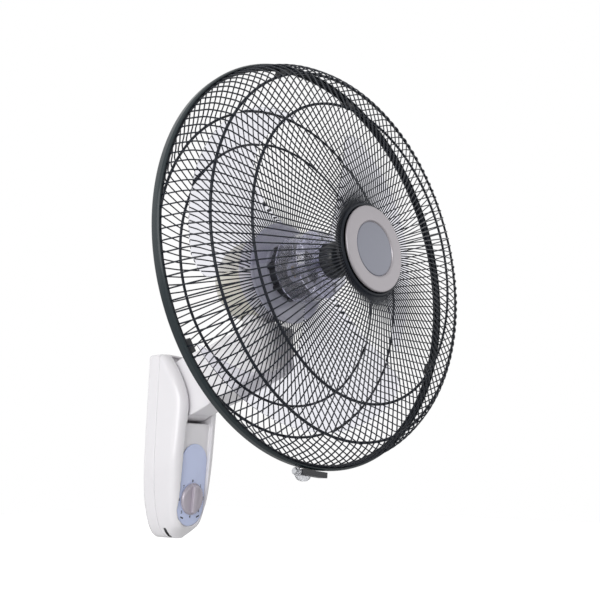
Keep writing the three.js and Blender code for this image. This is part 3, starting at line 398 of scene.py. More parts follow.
@dataclass(frozen=True)
class Places:
    """Where the sub-assemblies stand, read from the frame's joints."""

    setback: float = 117.0

    def head(self) -> Matrix:
        """The middle of the rim, with +Z forwards along the blade axis."""
        spin = joint_named("blade_spin")
        forwards = Vector(spin["axis"]).normalized()
        return axis_matrix(Vector(spin["pos_m"]) + forwards * self.setback * MM, forwards)

    def knob(self) -> Matrix:
        """The knob's seat on the control plate, with +Z out of the plate."""
        turn = joint_named("knob_turn")
        return axis_matrix(Vector(turn["pos_m"]), Vector(turn["axis"]).normalized())


PLACES = Places()


# ------------------------------------------------------------------ shader groups
class Socket(Enum):
    """Kinds of socket on a node group."""

    NUMBER = "NodeSocketFloat"
    COLOUR = "NodeSocketColor"
    VECTOR = "NodeSocketVector"
    GEOMETRY = "NodeSocketGeometry"
    COUNT = "NodeSocketInt"
    MATERIAL = "NodeSocketMaterial"


def add_sockets(tree: NodeTree, inputs: Sequence[tuple[str, Socket, object]],
                outputs: Sequence[tuple[str, Socket]]) -> tuple[Node, Node]:
    """Gives a node group its sockets and its two end nodes.

    Args:
        tree: the group.
        inputs: name, kind and default of each input; None leaves the default.
        outputs: name and kind of each output.

    Returns:
        The group's input node and output node.
    """
    for name, kind, value in inputs:
        socket = tree.interface.new_socket(name=name, in_out="INPUT", socket_type=kind.value)
        if value is not None:
            socket.default_value = value
    for name, kind in outputs:
        tree.interface.new_socket(name=name, in_out="OUTPUT", socket_type=kind.value)
    return tree.nodes.new("NodeGroupInput"), tree.nodes.new("NodeGroupOutput")


def feed(tree: NodeTree, target: Node, **inputs: object) -> None:
    """Links or sets the inputs of a node.

    Args:
        tree: the node's tree.
        target: the node.
        **inputs: by socket name with _ for a space, or by _0, _1 for a place; a socket
            is linked and anything else becomes the value.
    """
    for name, value in inputs.items():
        socket = target.inputs[int(name[1:]) if name.startswith("_") else name.replace("_", " ")]
        if isinstance(value, NodeSocket):
            tree.links.new(value, socket)
        else:
            socket.default_value = value


def node(tree: NodeTree, kind: str, settings: Optional[dict] = None,
         **inputs: object) -> Node:
    """A node with its settings and inputs.

    Args:
        tree: the tree that gets it.
        kind: Blender's name of the node's type.
        settings: attributes set on the node.
        **inputs: its inputs, as feed takes them.

    Returns:
        The new node.
    """
    made = tree.nodes.new(kind)
    for name, value in (settings or {}).items():
        setattr(made, name, value)
    feed(tree, made, **inputs)
    return made


def reckon(tree: NodeTree, operation: str, *values: object) -> NodeSocket:
    """The outcome of one sum on sockets or numbers.

    Args:
        tree: the tree that gets the sum.
        operation: Blender's name of it.
        *values: what it works on, in order.

    Returns:
        The socket of the outcome.
    """
    made = node(tree, "ShaderNodeMath", {"operation": operation})
    feed(tree, made, **{f"_{place}": value for place, value in enumerate(values)})
    return made.outputs[0]


def soft_step(tree: NodeTree, value: NodeSocket, low: float, high: float,
              top: NodeSocket) -> NodeSocket:
    """What rises softly from 0 to top while a value goes from low to high."""
    return node(tree, "ShaderNodeMapRange", {"interpolation_type": "SMOOTHSTEP"}, Value=value, From_Min=low,
                From_Max=high, To_Min=0.0, To_Max=top).outputs["Result"]


def blend(tree: NodeTree, share: NodeSocket, first: object,
          second: object) -> NodeSocket:
    """A colour that goes from the first to the second with a share."""
    return node(tree, "ShaderNodeMix", {"data_type": "RGBA"}, _0=share, _6=first, _7=second).outputs[2]


def tint(tree: NodeTree, colour: NodeSocket, swing: NodeSocket,
         amount: NodeSocket) -> NodeSocket:
    """A colour made lighter and darker by an amount of a swing about 0."""
    level = reckon(tree, "MULTIPLY_ADD", swing, amount, 1.0)
    return node(tree, "ShaderNodeVectorMath", {"operation": "SCALE"}, _0=colour, Scale=level).outputs[0]


def mottle_group() -> None:
    """Makes the group of moulded and painted surfaces: soft mottling, fine grain, dust and worn edges."""
    tree = bpy.data.node_groups.new("surface_detail", "ShaderNodeTree")
    start, end = add_sockets(tree, [
        ("Colour", Socket.COLOUR, (0.8, 0.8, 0.8, 1.0)), ("Mottle", Socket.NUMBER, 0.03),
        ("Mottle Scale", Socket.NUMBER, 18.0), ("Roughness", Socket.NUMBER, 0.3),
        ("Roughness Spread", Socket.NUMBER, 0.06), ("Grain Scale", Socket.NUMBER, 1500.0),
        ("Grain Height", Socket.NUMBER, 0.02), ("Edge Wear", Socket.NUMBER, 0.0),
        ("Worn Colour", Socket.COLOUR, (0.9, 0.9, 0.9, 1.0)), ("Dust", Socket.NUMBER, 0.0),
    ], [("Colour", Socket.COLOUR), ("Roughness", Socket.NUMBER), ("Normal", Socket.VECTOR)])
    given = start.outputs
    place = node(tree, "ShaderNodeTexCoord").outputs["Object"]
    broad = node(tree, "ShaderNodeTexNoise", Vector=place, Scale=given["Mottle Scale"], Detail=4.0,
                 Roughness=0.6).outputs["Fac"]
    fine = node(tree, "ShaderNodeTexNoise", Vector=place, Scale=given["Grain Scale"], Detail=2.0)
    swing = reckon(tree, "SUBTRACT", broad, 0.5)
    shape = node(tree, "ShaderNodeNewGeometry")
    edge = soft_step(tree, shape.outputs["Pointiness"], low=0.52, high=0.62, top=given["Edge Wear"])
    worn = blend(tree, edge, tint(tree, given["Colour"], swing, given["Mottle"]), given["Worn Colour"])
    upwards = node(tree, "ShaderNodeSeparateXYZ", _0=shape.outputs["Normal"])
    settled = soft_step(tree, upwards.outputs["Z"], low=0.3, high=1.0, top=given["Dust"])
    dusty = blend(tree, reckon(tree, "MULTIPLY", settled, broad), worn, DUST_TONE)
    rough = reckon(tree, "MULTIPLY_ADD", swing, given["Roughness Spread"], given["Roughness"])
    bump = node(tree, "ShaderNodeBump", Strength=given["Grain Height"], Distance=0.0005,
                Height=fine.outputs["Fac"])
    feed(tree, end, Colour=dusty, Roughness=rough, Normal=bump.outputs["Normal"])


def turned_group() -> None:
    """Makes the group of machined and laminated metal: fine lines across one axis."""
    tree = bpy.data.node_groups.new("machined_lines", "ShaderNodeTree")
    start, end = add_sockets(tree, [
        ("Colour", Socket.COLOUR, (0.5, 0.5, 0.5, 1.0)), ("Roughness", Socket.NUMBER, 0.35),
        ("Line Scale", Socket.NUMBER, 900.0), ("Line Depth", Socket.NUMBER, 0.1),
        ("Shade", Socket.NUMBER, 0.12),
    ], [("Colour", Socket.COLOUR), ("Roughness", Socket.NUMBER), ("Normal", Socket.VECTOR)])
    given = start.outputs
    place = node(tree, "ShaderNodeTexCoord").outputs["Object"]
    lines = node(tree, "ShaderNodeTexWave", {"wave_type": "BANDS", "bands_direction": "Y"}, Vector=place,
                 Scale=given["Line Scale"], Distortion=1.5, Detail=1.0)
    cloud = node(tree, "ShaderNodeTexNoise", Vector=place, Scale=60.0, Detail=3.0)
    swing = reckon(tree, "SUBTRACT", cloud.outputs["Fac"], 0.5)
    rough = reckon(tree, "MULTIPLY_ADD", swing, 0.2, given["Roughness"])
    bump = node(tree, "ShaderNodeBump", Strength=given["Line Depth"], Distance=0.0002,
                Height=lines.outputs["Fac"])
    feed(tree, end, Colour=tint(tree, given["Colour"], swing, given["Shade"]), Roughness=rough,
         Normal=bump.outputs["Normal"])


class Surface(Enum):
    """Which group of surface detail a finish uses."""

    MOULDED = "surface_detail"
    MACHINED = "machined_lines"


@dataclass(frozen=True)
class Finish:
    """One finish of the fan; its numbers go into the group and the shader."""

    slot: str
    colour: Colour
    surface: Surface = Surface.MOULDED
    rough: float = 0.3
    rough_spread: float = 0.08
    mottle: float = 0.04
    mottle_scale: float = 18.0
    grain_scale: float = 1800.0
    grain: float = 0.03
    wear: float = 0.0
    worn: Colour = (0.9, 0.9, 0.9)
    dust: float = 0.0
    metallic: float = 0.0
    coat: float = 0.0
    coat_rough: float = 0.05
    clear: float = 0.0
    specular: float = 0.5
    ior: float = 1.5
    line_scale: float = 900.0

    def build(self) -> Material:
        """Makes the material.

        Returns:
            A node material named after the slot.
        """
        material = bpy.data.materials.new(self.slot)
        material.use_nodes = True
        tree = material.node_tree
        shader = tree.nodes["Principled BSDF"]
        detail = tree.nodes.new("ShaderNodeGroup")
        detail.node_tree = bpy.data.node_groups[self.surface.value]
        feed(tree, detail, Colour=(*self.colour, 1.0), Roughness=self.rough, **self._detail())
        feed(tree, shader, Base_Color=detail.outputs["Colour"], Roughness=detail.outputs["Roughness"],
             Normal=detail.outputs["Normal"], Metallic=self.metallic, Coat_Weight=self.coat,
             Coat_Roughness=self.coat_rough, Specular_IOR_Level=self.specular,
             Transmission_Weight=self.clear, IOR=self.ior)
        material.diffuse_color = (*self.colour, 1.0)
        return material

    def _detail(self) -> dict[str, object]:
        """The inputs that the group of this finish has on its own, by name."""
        if self.surface is Surface.MACHINED:
            return {"Line_Scale": self.line_scale, "Line_Depth": self.grain, "Shade": self.mottle}
        return {"Mottle": self.mottle, "Mottle_Scale": self.mottle_scale,
                "Roughness_Spread": self.rough_spread, "Grain_Scale": self.grain_scale,
                "Grain_Height": self.grain, "Edge_Wear": self.wear, "Worn_Colour": (*self.worn, 1.0),
                "Dust": self.dust}


FINISHES = (
    Finish("body_plastic", (0.79, 0.775, 0.80), rough=0.22, coat=0.25, mottle=0.02, grain=0.02, dust=0.05),
    Finish("panel_film", (0.62, 0.69, 0.94), rough=0.30, mottle=0.03, grain=0.03),
    Finish("knob_pearl", (0.49, 0.45, 0.51), rough=0.34, mottle=0.06, grain_scale=4000.0, grain=0.06,
           metallic=0.25, wear=0.3, worn=(0.66, 0.63, 0.66)),
    Finish("guard_wire", (0.010, 0.013, 0.020), rough=0.38, coat=0.05, mottle=0.25, grain=0.04, dust=0.01,
           specular=0.22),
    Finish("rim_coat", (0.010, 0.018, 0.022), rough=0.34, coat=0.12, mottle=0.2, grain=0.03, dust=0.01,
           specular=0.3),
    Finish("black_plastic", (0.014, 0.015, 0.019), rough=0.30, mottle=0.2, grain_scale=2500.0, grain=0.08,
           dust=0.04),
    Finish("cream_plastic", (0.66, 0.64, 0.57), rough=0.32, mottle=0.03, grain=0.04, dust=0.06),
    Finish("cap_silver", (0.385, 0.362, 0.385), rough=0.36, mottle=0.05, grain_scale=5000.0, grain=0.05,
           metallic=0.45, coat=0.2, coat_rough=0.12),
    Finish("cap_inlay", (0.20, 0.207, 0.25), rough=0.30, mottle=0.04, grain_scale=5000.0, grain=0.04,
           metallic=0.55, coat=0.3, coat_rough=0.1),
    Finish("steel", (0.52, 0.53, 0.55), Surface.MACHINED, rough=0.30, grain=0.10, mottle=0.2, metallic=1.0),
    Finish("laminations", (0.33, 0.34, 0.36), Surface.MACHINED, rough=0.42, grain=0.5, mottle=0.25,
           metallic=1.0, line_scale=1400.0),
    Finish("copper", (0.55, 0.28, 0.12), Surface.MACHINED, rough=0.34, grain=0.6, mottle=0.3, metallic=0.9,
           line_scale=700.0),
    Finish("bronze", (0.50, 0.36, 0.17), Surface.MACHINED, rough=0.45, grain=0.1, mottle=0.3, metallic=0.9),
    Finish("cast_alloy", (0.48, 0.49, 0.51), rough=0.48, mottle=0.15, grain_scale=1400.0, grain=0.3,
           metallic=0.9),
    Finish("blade_clear", (0.87, 0.87, 0.92), rough=0.05, rough_spread=0.04, mottle=0.03, grain=0.01,
           clear=1.0, ior=1.12),
    # painted shade: the blades' clear plastic, given a darker lilac tint on the hub for the dark parts seen
    # through it
    Finish("hub_smoke", (0.70, 0.70, 0.80), rough=0.06, rough_spread=0.04, mottle=0.05, grain=0.01,
           clear=0.92, ior=1.35, coat=0.6),
    # painted shade: the motor's cream plastic made a darker lilac grey on the front cover, which lies in shade
    # behind the hub
    Finish("motor_shade", (0.62, 0.61, 0.67), rough=0.28, mottle=0.06, grain_scale=2500.0, grain=0.06,
           dust=0.04, coat=0.2),
    # painted light: a light lilac grey in place of the rear guard's black coat, for the light seen on the plate
    # through the clear hub
    Finish("plate_shade", (0.42, 0.42, 0.50), rough=0.24, mottle=0.12, grain=0.05, coat=0.4),
    Finish("clear_tab", (0.84, 0.85, 0.88), rough=0.22, mottle=0.04, grain=0.03, clear=0.6),
    Finish("switch_grey", (0.08, 0.085, 0.10), rough=0.5, mottle=0.15, grain=0.12),
    Finish("dial_ink", (0.03, 0.033, 0.06), rough=0.45, mottle=0.1, grain=0.02),
)


class Paints:
    """The built materials, by slot."""

    def __init__(self, finishes: Sequence[Finish]) -> None:
        """Builds the groups and every finish."""
        mottle_group()
        turned_group()
        self.by_slot = {finish.slot: finish.build() for finish in finishes}

    def coat(self, obj: Object, slot: str) -> Object:
        """Gives an object one material all over."""
        obj.data.materials.clear()
        obj.data.materials.append(self.by_slot[slot])
        return obj

    def dress_nodes(self) -> None:
        """Gives every CAD node the finish of its slot."""
        slots = {part["node"]: part["material_slot"] for part in frame["record"]["subparts"]}
        for name, obj in frame["nodes"].items():
            material = self.by_slot[slots[name]]
            if not obj.data.materials:
                obj.data.materials.append(material)
            for i in range(len(obj.material_slots)):
                obj.material_slots[i].material = material


# ------------------------------------------------------------------ geometry nodes
def end_with_copies(tree: GeometryNodeTree, ends: tuple[Node, Node],
                    shape: NodeSocket, sweep: object, first: object) -> None:
    """Ends a geometry tree with copies of a shape round +Z.

    Args:
        tree: the tree.
        ends: its input node, which gives the count and the finish, and its output node.
        shape: the socket of what is copied.
        sweep: the arc that the copies share out, as a socket or in radians.
        first: the angle of the first one, likewise.
    """
    start, end = ends
    points = node(tree, "GeometryNodePoints", Count=start.outputs["Count"])
    index = node(tree, "GeometryNodeInputIndex")
    share = reckon(tree, "DIVIDE", index.outputs[0], start.outputs["Count"])
    turn = node(tree, "ShaderNodeCombineXYZ", Z=reckon(tree, "MULTIPLY_ADD", share, sweep, first))
    copies = node(tree, "GeometryNodeInstanceOnPoints", Points=points.outputs[0], Instance=shape,
                  Rotation=turn.outputs[0])
    real = node(tree, "GeometryNodeRealizeInstances", _0=copies.outputs[0])
    painted = node(tree, "GeometryNodeSetMaterial", _0=real.outputs[0], Material=start.outputs["Finish"])
    feed(tree, end, Geometry=painted.outputs[0])


def spread_tree() -> None:
    """Makes the node tree that repeats a mesh round +Z.

    Inputs are the mesh, the number of copies, the angle of the first one, the arc that
    they share out and the finish.
    """
    tree = bpy.data.node_groups.new("repeat_round_axis", "GeometryNodeTree")
    ends = add_sockets(tree, [
        ("Geometry", Socket.GEOMETRY, None), ("Count", Socket.COUNT, 8), ("Start", Socket.NUMBER, 0.0),
        ("Sweep", Socket.NUMBER, TURN), ("Finish", Socket.MATERIAL, None),
    ], [("Geometry", Socket.GEOMETRY)])
    given = ends[0].outputs
    end_with_copies(tree, ends, given["Geometry"], given["Sweep"], given["Start"])


def cage_tree() -> None:
    """Makes the node tree that turns the line of one wire into a cage of round wires.

    Inputs are the line, the wire's radius, the number of wires, the facets of a wire
    and the finish.
    """
    tree = bpy.data.node_groups.new("wire_cage", "GeometryNodeTree")
    ends = add_sockets(tree, [
        ("Geometry", Socket.GEOMETRY, None), ("Wire Radius", Socket.NUMBER, 0.0012),
        ("Count", Socket.COUNT, 100), ("Facets", Socket.COUNT, 6), ("Finish", Socket.MATERIAL, None),
    ], [("Geometry", Socket.GEOMETRY)])
    given = ends[0].outputs
    line = node(tree, "GeometryNodeMeshToCurve", _0=given["Geometry"])
    section = node(tree, "GeometryNodeCurvePrimitiveCircle", Resolution=given["Facets"],
                   Radius=given["Wire Radius"])
    wire = node(tree, "GeometryNodeCurveToMesh", Curve=line.outputs[0], Profile_Curve=section.outputs[0],
                Fill_Caps=True)
    end_with_copies(tree, ends, wire.outputs[0], TURN, 0.0)


def run_tree(obj: Object, tree: GeometryNodeTree, **inputs: object) -> None:
    """Runs a geometry tree on an object and keeps the outcome as its mesh.

    Args:
        obj: the object that holds the starting mesh.
        tree: the node tree.
        **inputs: values by input name, with _ for a space.
    """
    modifier = obj.modifiers.new("shape", "NODES")
    modifier.node_group = tree
    for item in tree.interface.items_tree:
        key = item.name.replace(" ", "_")
        if item.in_out == "INPUT" and key in inputs:
            modifier[item.identifier] = inputs[key]
    freeze(obj)


def spread(obj: Object, count: int, material: Material, start: float = 0.0,
           sweep: float = 360.0) -> Object:
    """Copies of an object round +Z as one mesh.

    Args:
        obj: the first copy, lying where the angle is 0.
        count: the number of copies.
        material: their finish.
        start: the first copy's angle in degrees.
        sweep: the arc in degrees that they share out.

    Returns:
        The same object.
    """
    run_tree(obj, bpy.data.node_groups["repeat_round_axis"], Count=count, Start=math.radians(start),
             Sweep=math.radians(sweep), Finish=material)
    return obj


# ------------------------------------------------------------------ pieces
@dataclass
class Assembly:
    paints: Paints
    made: list[str] = field(default_factory=list)

    def declare(self, obj: Object, name: str, body: Body, slot: str, *nodes: str,
                place: Optional[Matrix] = None, crease: float = 35.0) -> Object:
        """Names, places, paints and rides a finished piece.

        Args:
            obj: the mesh object.
            name: the piece's name.
            body: the body it moves with.
            slot: its finish.
            *nodes: the CAD nodes that it stands for.
            place: the matrix from its own axes into the row, if it isn't there yet.
            crease: edges steeper than this stay sharp, in degrees.

        Returns:
            The same object.
        """
        if place is not None:
            obj.data.transform(place)
        obj.name = name
        obj.data.name = name
        shade(obj, crease)
        self.paints.coat(obj, slot)
        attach(obj, body.value)
        if nodes:
            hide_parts(*nodes)
        self.made.append(name)
        return obj

    def rounded_node(self, source: str, name: str, body: Body, slot: str, width: float,
                     crease: float = 35.0) -> Object:
        """A CAD node's form with its edges rounded, in the node's place.

        Args:
            source: the node.
            name: the new piece's name.
            body: the body it moves with.
            slot: its finish.
            width: the rounding in millimetres.
            crease: edges steeper than this stay sharp, in degrees.

        Returns:
            The new piece.
        """
        copy = node_copy(source, name)
        soften(copy, width, degrees=28.0)
        self.declare(copy, name, body, slot, source, crease=crease)
        level_normals(copy)
        return copy


def level_normals(obj: Object) -> None:
    """Lets an object's large faces set the shading of its rounded edges."""
    modifier = obj.modifiers.new("level", "WEIGHTED_NORMAL")
    modifier.keep_sharp = True
    modifier.weight = 100
    freeze(obj)


def node_copy(source: str, name: str) -> Object:
    """A copy of a CAD node, with its triangles joined into whole faces."""
    copy = add_object(name, frame["nodes"][source].data.copy())
    tidy(copy)
    with editing(copy) as work:
        bmesh.ops.dissolve_limit(work, angle_limit=FLAT, verts=work.verts, edges=work.edges,
                                 delimit=set())
    return copy


def melt(obj: Object, passes: int) -> None:
    """Rebuilds a solid on an even grid and smooths it, which rounds all its edges.

    Args:
        obj: the solid.
        passes: how often it is smoothed.
    """
    grid = obj.modifiers.new("grid", "REMESH")
    grid.mode = "VOXEL"
    grid.voxel_size = GRID * MM
    smooth = obj.modifiers.new("smooth", "SMOOTH")
    smooth.factor = 0.5
    smooth.iterations = passes
    freeze(obj)


# ------------------------------------------------------------------ body on the wall
@dataclass
class WallBody(Assembly):
    """The slim moulded body: two shells, their screws, the inlet and the wall plate."""

    top: float = 102.0
    bottom: float = -134.0
    half_width: float = 38.0
    deep: float = 66.0
    corner: float = 5.0
    taper_z: float = -20.0
    foot_pull: Point2 = (26.0, -92.0)
    foot_flat: float = 3.0
    edge: float = 12.0
    rear_edge: float = 6.0
    split: float = 22.0
    gap: float = 0.3
    wall: float = 2.6
    brow: float = 29.0
    cheek: Point2 = (30.0, 58.0)
    chin: tuple[Point2, Point2, Point2] = ((58.0, -85.0), (54.0, -118.0), (38.0, -134.0))
    slot_half: float = 23.3
    slot_bottom: float = 10.5
    slot_top_wall: float = 2.6
    edge_steps: int = 9
    rear_steps: int = 4
    corner_steps: int = 6
    foot_steps: int = 36
    foot_levels: int = 10
    section_step: float = 2.5
    spine: float = 0.5
    inlet_deep: float = 14.0

    def side_line(self) -> list[Point2]:
        """Half widths and heights of the front view, from the top down."""
        w, t = self.half_width, self.top
        head = bezier([(w - self.corner, t), (w, t), (w, t - self.corner)], self.corner_steps)
        foot = bezier([(w, self.taper_z), (w, self.foot_pull[1]), (self.foot_pull[0], self.bottom),
                       (self.foot_flat, self.bottom)], self.foot_steps)
        return head + foot

    def front_line(self) -> list[Point2]:
        """Distances from the wall and heights of the side view, from the top down."""
        brow = bezier([(self.brow, self.top), (self.deep, self.cheek[1]), (self.deep, self.cheek[0])],
                      steps=16)
        return filleted([*brow, *self.chin[:2], (self.chin[2][0], self.bottom)], radius=14.0, steps=6)

    def form(self, inset: float = 0.0, behind: float = 0.0) -> Object:
        """The body's outside, or a skin inside it.

        Args:
            inset: how far the skin lies inside.
            behind: how far it reaches behind the wall plane.

        Returns:
            A closed mesh.
        """
        side, front = self.side_line(), self.front_line()
        low, high = self.bottom + inset, self.top - inset
        count = int((high - low) / self.section_step)
        levels = {round(lerp(high, low, i / count), 3) for i in range(count + 1)}
        levels |= {round(z, 3) for _, z in side[:self.corner_steps + 1] + side[-self.foot_levels:]
                   if low < z < high}
        rings = []
        for z in sorted(levels, reverse=True):
            half = max(read_at(side, z) - inset, self.foot_flat)
            reach = read_at(front, z) - inset
            r = min(self.edge - inset, half - self.spine, reach / 2)
            front_edge = arc(r, 0, 90, self.edge_steps, (half - r, reach - r))
            r = min(self.rear_edge - inset, half - self.spine)
            back_edge = arc(r, 270, 90, self.rear_steps, (half - r, r))
            right = [(back_edge[0][0], -behind), *back_edge[0 if behind else 1:], *front_edge]
            outline = right + [(-x, y) for x, y in reversed(right)]
            rings.append([(x, -y, z) for x, y in outline])
        return loft("form", rings)

    def build(self, panel: "ControlPanel") -> None:
        """Builds and dresses every piece of the body.

        Args:
            panel: the control panel, which gives the channel in the front.
        """
        self._front(panel)
        self._back()
        for source, name in (("wall_bracket", "bracket_plate"), ("hinge_bracket", "hinge_yoke"),
                             ("tilt_bolt", "tilt_pin"), ("tilt_nut", "tilt_pin_nut")):
            self.rounded_node(source, name, Body.WALL, "steel", width=0.4)

    def _front(self, panel: "ControlPanel") -> None:
        """The front shell, with the gap for the neck and the channel for the plate."""
        shell = self.form()
        combine(shell, block("half", (-FAR, -FAR, -FAR), (FAR, -self.split - self.gap, FAR)), Join.KEEP)
        gate = self.slot_half
        combine(shell, block("slot", (-gate, -FAR, self.slot_bottom),
                             (gate, 0, self.top - self.slot_top_wall)), Join.CUT)
        combine(shell, block("brow", (-gate, -FAR, self.slot_bottom), (gate, -self.brow, FAR)), Join.CUT)
        combine(shell, panel.channel(self.slot_bottom, self.deep), Join.CUT)
        combine(shell, panel.shaft_cutter(), Join.CUT)
        box_low, box_high = (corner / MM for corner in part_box("cord_inlet"))
        combine(shell, block("inlet", (box_low.x - self.gap, box_low.y - self.gap, -FAR),
                             (box_high.x + self.gap, box_high.y + self.gap, self.bottom + self.inlet_deep)),
                Join.CUT)
        melt(shell, passes=5)
        self.declare(shell, "front_shell", Body.WALL, "body_plastic", "body_front_shell", crease=60)
        self.rounded_node("cord_inlet", "inlet_bush", Body.WALL, "black_plastic", width=0.3)

    def _back(self) -> None:
        """The back shell, with the recess that takes the wall plate."""
        shell = self.form()
        combine(shell, block("half", (-FAR, -self.split, -FAR), (FAR, FAR, FAR)), Join.KEEP)
        recess = self.form(inset=self.wall, behind=1.0)
        floor = -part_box("wall_screw_upper")[0].y / MM + self.gap
        combine(recess, block("floor", (-FAR, -floor, -FAR), (FAR, FAR, FAR)), Join.KEEP)
        combine(shell, recess, Join.CUT)
        melt(shell, passes=4)
        self.declare(shell, "back_shell", Body.WALL, "body_plastic", "body_back_shell", crease=60)


@dataclass
class ControlPanel(Assembly):
    """The lozenge plate, its knob and the plain numbers printed round it."""

    half_width: float = 23.6
    top: Point2 = (59.0, -16.0)
    bottom: Point2 = (52.0, -118.0)
    thick: float = 1.6
    margin: float = 1.2
    gap: float = 0.3
    knob_z: float = -85.0
    knob_r: float = 19.3
    knob_collar: float = 4.0
    knob_deep: float = 8.0
    knob_taper: float = 1.6
    grip_half: float = 3.5
    grip_cut: Point2 = (1.4, 2.0)
    flutes: int = 48
    flute_r: float = 0.55
    mark_half: float = 0.55
    mark_deep: float = 0.35
    shaft_hole: float = 3.4
    shaft_room: float = 4.5
    round_steps: int = 24
    number_r: float = 22.1
    number_high: float = 3.4
    numbers: int = 8
    bar_out: float = 4.6
    bar_turn: float = 33.0
    bar_half: Point2 = (2.6, 0.9)
    bar_thick: Point2 = (0.03, 0.12)

    @property
    def tilt(self) -> float:
        """The angle by which the plate faces downwards."""
        return math.atan((self.top[0] - self.bottom[0]) / (self.top[1] - self.bottom[1]))

    def place(self) -> Matrix:
        """From the plate's own axes: +X across, +Y up it, +Z out of its face."""
        out = Vector((0, -math.cos(self.tilt), -math.sin(self.tilt)))
        middle = Vector((0, -(self.top[0] + self.bottom[0]) / 2, (self.top[1] + self.bottom[1]) / 2)) * MM
        return axis_matrix(middle, out)

    @property
    def straight(self) -> float:
        """Half the length of the plate's straight sides."""
        return (self.top[1] - self.bottom[1]) / 2 / math.cos(self.tilt) - self.half_width

    @property
    def knob_up(self) -> float:
        """The knob's place along the plate, up from its middle."""
        return (self.knob_z - (self.top[1] + self.bottom[1]) / 2) / math.cos(self.tilt)

    def outline(self, margin: float, open_top: float = 0.0) -> list[Point2]:
        """The plate's outline.

        Args:
            margin: how far it is grown.
            open_top: how far its sides run on upwards, square, instead of a round end.

        Returns:
            The outline's points.
        """
        half, straight = self.half_width + margin, self.straight
        low = arc(half, 180, 180, self.round_steps, (0.0, -straight))
        if open_top:
            return [*low, (half, straight + open_top), (-half, straight + open_top)]
        return low + arc(half, 0, 180, self.round_steps, (0.0, straight))

    def channel(self, slot_bottom: float, reach: float) -> Object:
        """The cutter of the shallow channel that runs down from the neck's gap."""
        up = slot_bottom - self.top[1] + self.half_width
        cutter = prism("channel", self.outline(self.margin, up), -self.thick - self.gap, reach)
        cutter.data.transform(self.place())
        return cutter

    def shaft_cutter(self) -> Object:
        """The cutter of the room for the knob's shaft in the body."""
        cutter = self._bore(self.shaft_room, low=-30, high=10)
        cutter.data.transform(self.place())
        return cutter

    def _bore(self, radius: float, low: float, high: float) -> Object:
        """A round cutter about the knob's axis, on the plate's own axes."""
        return prism("bore", disc_outline(radius, 32, (0.0, self.knob_up)), low, high)

    def build(self) -> None:
        """Builds and dresses the plate, the knob and the print."""
        plate = prism("plate", self.outline(margin=0.0), -self.thick, 0.0)
        soften(plate, width=0.5)
        combine(plate, self._bore(self.shaft_hole, low=-5, high=5), Join.CUT)
        self.declare(plate, "dial_plate", Body.WALL, "panel_film", "control_plate", place=self.place())
        self._knob()
        self._print()

    def _knob(self) -> None:
        """The knob: a tapered disc with a crown and a raised grip across it."""
        r, collar, taper = self.knob_r, self.knob_collar, self.knob_taper
        low = self.gap
        side = [(r - 0.4, low), (r, low + 0.5), (r - taper * 0.7, low + collar - 1.2)]
        crown = bezier([side[-1], (r - taper, low + collar - 0.2), (r - taper - 1.6, low + collar)],
                       steps=6)
        profile = [(0.0, low), *side[:-1], *crown, (r - taper - 3.2, low + collar - 0.25),
                   (0.0, low + collar - 0.5)]
        knob = lathe("knob", profile, steps=96)
        foot, head = low + 1.2, low + collar - 1.6
        flutes = lathe("flute", [(0.0, head), (self.flute_r, head), (self.flute_r, foot), (0.0, foot)],
                       steps=8)
        flutes.data.transform(Matrix.Translation((r * MM, 0, 0)))
        spread(flutes, self.flutes, self.paints.by_slot["knob_pearl"])
        reach = r - taper - 0.6
        half, (cut, slope) = self.grip_half, self.grip_cut
        outline = [(-half, -reach + slope), (-half + cut, -reach), (half - cut, -reach),
                   (half, -reach + slope), (half, reach - slope), (half - cut, reach), (-half + cut, reach),
                   (-half, reach - slope)]
        bar = prism("grip", filleted(outline, radius=1.2, closed=True), low + 1.0, low + self.knob_deep)
        soften(bar, width=0.9, segments=4)
        combine(bar, disc_keep(r - taper * 0.6, low, low + self.knob_deep + 1), Join.KEEP)
        half, near, far = self.mark_half, reach * 0.45, reach * 0.9
        mark = prism("mark", filleted([(-half, near), (half, near), (half, far), (-half, far)], radius=0.4,
                                      closed=True), low + self.knob_deep - self.mark_deep,
                     low + self.knob_deep + 1)
        combine(bar, mark, Join.CUT)
        place = PLACES.knob()
        place.translation = self.place() @ Vector((0, self.knob_up * MM, 0))
        whole = merged("knob_whole", [knob, bar, flutes])
        self.declare(whole, "dial_knob", Body.KNOB, "knob_pearl", "speed_knob", place=place, crease=40)

    def _print(self) -> None:
        """Plain numbers from 0 upwards round the knob, and two short bars below it."""
        for i in range(self.numbers):
            x, y = polar(self.number_r, 90 - i * 360 / self.numbers)
            number = text_mesh(str(i), self.number_high)
            number.data.transform(Matrix.Translation((x * MM, (y + self.knob_up) * MM, INK * MM)))
            self.declare(number, f"dial_number_{i}", Body.WALL, "dial_ink", place=self.place())
        for side in (-1, 1):
            x, y = polar(self.number_r + self.bar_out, 270 + side * self.bar_turn)
            long, high = self.bar_half
            bar = prism("bar", [(x + u * long, y + self.knob_up + side * u * high + v * high)
                                for u, v in ((-1, -1), (1, -1), (1, 1), (-1, 1))], *self.bar_thick)
            self.declare(bar, f"dial_bar_{(side + 3) // 2}", Body.WALL, "dial_ink", place=self.place())


def disc_keep(radius: float, low: float, high: float) -> Object:
    """A round bar along +Z, used to trim a piece."""
    return prism("trim", disc_outline(radius, steps=96), low, high)


